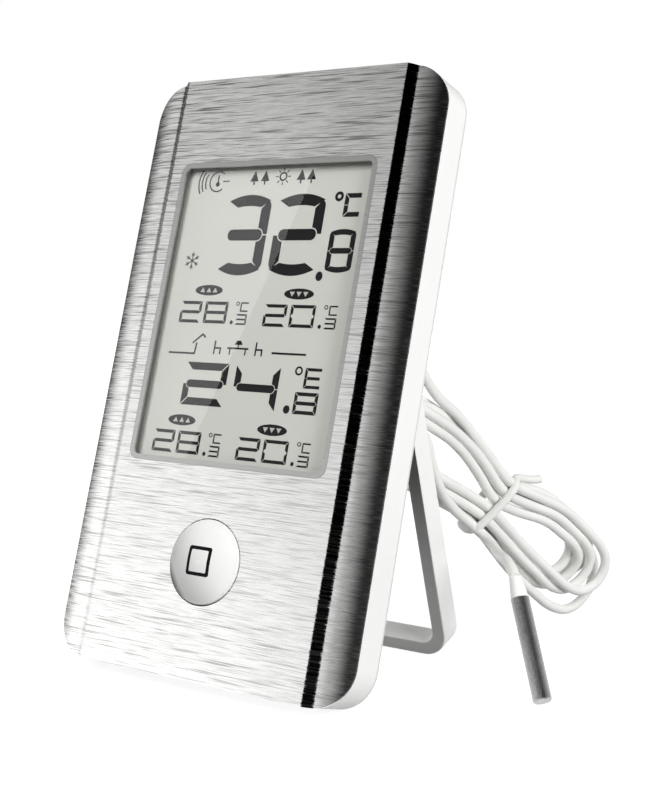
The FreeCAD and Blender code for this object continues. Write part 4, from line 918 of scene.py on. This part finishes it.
# ---------------------------------------------------------------- floor, light and camera
CAMERA_AT = Vector((0.19243, -0.25904, 0.10009))
CAMERA_FORWARD = Vector((-0.5577, 0.82255, -0.1107)).normalized()
CAMERA_RIGHT = Vector((0.8278, 0.5610, -0.0019)).normalized()
LENS = 60.84

camera_data = bpy.data.cameras.new("camera")
camera_data.lens = LENS
camera_data.sensor_width = 36.0
camera_data.clip_start = 0.01
camera_data.clip_end = 20.0
camera = bpy.data.objects.new("camera", camera_data)
scene.collection.objects.link(camera)
camera_up = CAMERA_RIGHT.cross(CAMERA_FORWARD).normalized()
view = Matrix((CAMERA_RIGHT, camera_up, -CAMERA_FORWARD)).transposed().to_4x4()
view.translation = CAMERA_AT
camera.matrix_world = view
scene.camera = camera


FLOOR_SIZE = 3.0
FLOOR_TONES = (0.3, 0.7, (0.31, 0.31, 0.31), (0.33, 0.33, 0.33))
FLOOR_GLOW = (0.16, 0.5, 0.87, 1.0)


def stage_floor():
    """A pale floor that takes the object's shadow, and shows white to the camera and to gloss."""
    mesh = bpy.data.meshes.new("floor")
    size = FLOOR_SIZE
    mesh.from_pydata([(-size, -size, 0), (size, -size, 0), (size, size, 0), (-size, size, 0)], [],
                     [(0, 1, 2, 3)])
    floor = bpy.data.objects.new("floor", mesh)
    scene.collection.objects.link(floor)
    material = bpy.data.materials.new("floor_white")
    material.use_nodes = True
    tree = material.node_tree
    tree.nodes.clear()
    path = node(tree, "ShaderNodeLightPath").outputs
    seen = maths(tree, "MAXIMUM", maths(tree, "MAXIMUM", path["Is Camera Ray"], path["Is Glossy Ray"]),
                 path["Is Transmission Ray"])
    paint_tone = two_tone(tree, noise(tree, millimetres(tree), 0.01, 2.0), *FLOOR_TONES)
    lit = node(tree, "ShaderNodeBsdfDiffuse", {"Color": paint_tone}).outputs[0]
    where = node(tree, "ShaderNodeTexCoord").outputs["Object"]
    distance = node(tree, "ShaderNodeVectorMath", {0: where}, operation="LENGTH").outputs["Value"]
    level = between(tree, distance, *FLOOR_GLOW, "SMOOTHSTEP")
    strength = maths(tree, "MULTIPLY", seen, level)
    glow = node(tree, "ShaderNodeEmission", {"Color": (1, 1, 1, 1), "Strength": strength}).outputs[0]
    both = node(tree, "ShaderNodeAddShader", {0: lit, 1: glow}).outputs[0]
    node(tree, "ShaderNodeOutputMaterial", {"Surface": both})
    floor.data.materials.append(material)


PLAIN_LIGHT = 0.10
# Degrees round the room, and how bright it is there in the metal's mirror image.
AZIMUTHS = [(-180, 0.55), (-128, 0.45), (-123, 0.0), (-113, 0.0), (-108, 0.3), (-97, 0.3), (-90, 0.0),
            (-82, 0.03), (-72, 0.75), (-54, 1.0), (-37, 0.95), (-31, 0.62), (-23, 0.32), (-15, 0.23),
            (-10, 0.21), (0, 0.21), (5, 0.3), (12, 0.6), (27, 0.6), (33, 0.0), (84, 0.0), (92, 0.6),
            (180, 0.6)]
LEVEL_LOW = 1.74
LEVEL_HIGH = 0.27
HIGH = 0.71


def studio_world():
    """Plain light on the object, a white background, and a darkened room for what gloss mirrors."""
    world = bpy.data.worlds.new("studio")
    scene.world = world
    world.use_nodes = True
    world.cycles.sampling_method = "NONE"
    tree = world.node_tree
    tree.nodes.clear()
    direction = node(tree, "ShaderNodeTexCoord").outputs["Generated"]
    parts = node(tree, "ShaderNodeSeparateXYZ", {0: direction}).outputs
    azimuth = maths(tree, "ARCTAN2", parts[0], maths(tree, "MULTIPLY", parts[1], -1.0))
    turn = between(tree, azimuth, -math.pi, math.pi, 0.0, 1.0)
    ramp = node(tree, "ShaderNodeValToRGB", {"Fac": turn})
    stops = ramp.color_ramp.elements
    while len(stops) < len(AZIMUTHS):
        stops.new(0.5)
    for stop, (degrees, _) in zip(stops, AZIMUTHS):
        stop.position = (degrees + 180) / 360
    for stop, (degrees, level) in zip(stops, AZIMUTHS):
        stop.position = (degrees + 180) / 360
        stop.color = (level, level, level, 1.0)
    height = between(tree, parts[2], 0.0, HIGH, LEVEL_LOW, LEVEL_HIGH)
    mirrored = maths(tree, "MULTIPLY", ramp.outputs["Color"], height)
    path = node(tree, "ShaderNodeLightPath").outputs
    plain = node(tree, "ShaderNodeBackground", {"Color": (1, 1, 1, 1), "Strength": PLAIN_LIGHT}).outputs[0]
    room = node(tree, "ShaderNodeBackground", {"Color": (1, 1, 1, 1), "Strength": mirrored}).outputs[0]
    white = node(tree, "ShaderNodeBackground", {"Color": (1, 1, 1, 1), "Strength": 1.0}).outputs[0]
    lit = node(tree, "ShaderNodeMixShader", {0: path["Is Glossy Ray"], 1: plain, 2: room}).outputs[0]
    seen = maths(tree, "MAXIMUM", path["Is Camera Ray"], path["Is Transmission Ray"])
    whole = node(tree, "ShaderNodeMixShader", {0: seen, 1: lit, 2: white}).outputs[0]
    node(tree, "ShaderNodeOutputWorld", {"Surface": whole})


def soft_lamp(name, place, aim, size, power):
    """A large lamp that neither the camera nor the metal's mirror image shows."""
    lamp = bpy.data.lights.new(name, "AREA")
    lamp.shape = "RECTANGLE"
    lamp.size, lamp.size_y = size
    lamp.energy = power
    thing = bpy.data.objects.new(name, lamp)
    scene.collection.objects.link(thing)
    thing.location = place
    thing.rotation_euler = (Vector(aim) - Vector(place)).to_track_quat("-Z", "Y").to_euler()
    thing.visible_camera = False
    thing.visible_glossy = False


GLARE_EDGE = ((11.5, -1.7, 122.6), (-12.3, -1.7, 50.4))
GLARE_SIDE = (-27.0, -1.7, 86.0)
GLARE_DISTANCE = 0.5
GLARE_SIZE = (0.42, 1.0)
GLARE_POWER = 4.8


def window_glare():
    """A lamp that only the window mirrors, placed so that its edge crosses the window aslant."""
    line = [on_case(*point) for point in GLARE_EDGE]
    mirrored = CAMERA_AT - INWARD * 2 * (CAMERA_AT - line[0]).dot(INWARD)
    middle = (line[0] + line[1]) / 2
    away = (middle - mirrored).normalized()
    centre = middle + away * GLARE_DISTANCE
    edge = []
    for point in line:
        ray = (point - mirrored).normalized()
        edge.append(mirrored + ray * ((centre - mirrored).dot(away) / ray.dot(away)))
    along = (edge[0] - edge[1]).normalized()
    aside = along.cross(away).normalized()
    if (on_case(*GLARE_SIDE) - middle).dot(aside) < 0:
        aside = -aside
    wide, long = GLARE_SIZE
    place = (edge[0] + edge[1]) / 2 + aside * wide / 2
    lamp = bpy.data.lights.new("window_lamp", "AREA")
    lamp.shape = "RECTANGLE"
    lamp.size, lamp.size_y = wide, long
    lamp.energy = GLARE_POWER * math.pi * wide * long
    thing = bpy.data.objects.new("window_lamp", lamp)
    scene.collection.objects.link(thing)
    turned = Matrix((aside, away.cross(aside), away)).transposed().to_4x4()
    turned.translation = place
    thing.matrix_world = turned
    thing.visible_camera = False
    only = bpy.data.collections.new("window_only")
    only.objects.link(NODES["display_lens"])
    thing.light_linking.receiver_collection = only


stage_floor()
studio_world()
soft_lamp("key", (0.95, -0.20, 0.46), (0.0, 0.01, 0.06), (0.6, 0.6), 10.0)
soft_lamp("fill", (-0.05, -0.85, 0.80), (0.0, 0.0, 0.07), (0.6, 0.6), 7.0)
soft_lamp("rear", (-0.30, 1.10, 0.38), (0.0, 0.03, 0.06), (0.8, 0.8), 6.2)
soft_lamp("left", (-1.05, -0.10, 0.45), (0.0, 0.0, 0.06), (0.6, 0.6), 4.2)
window_glare()
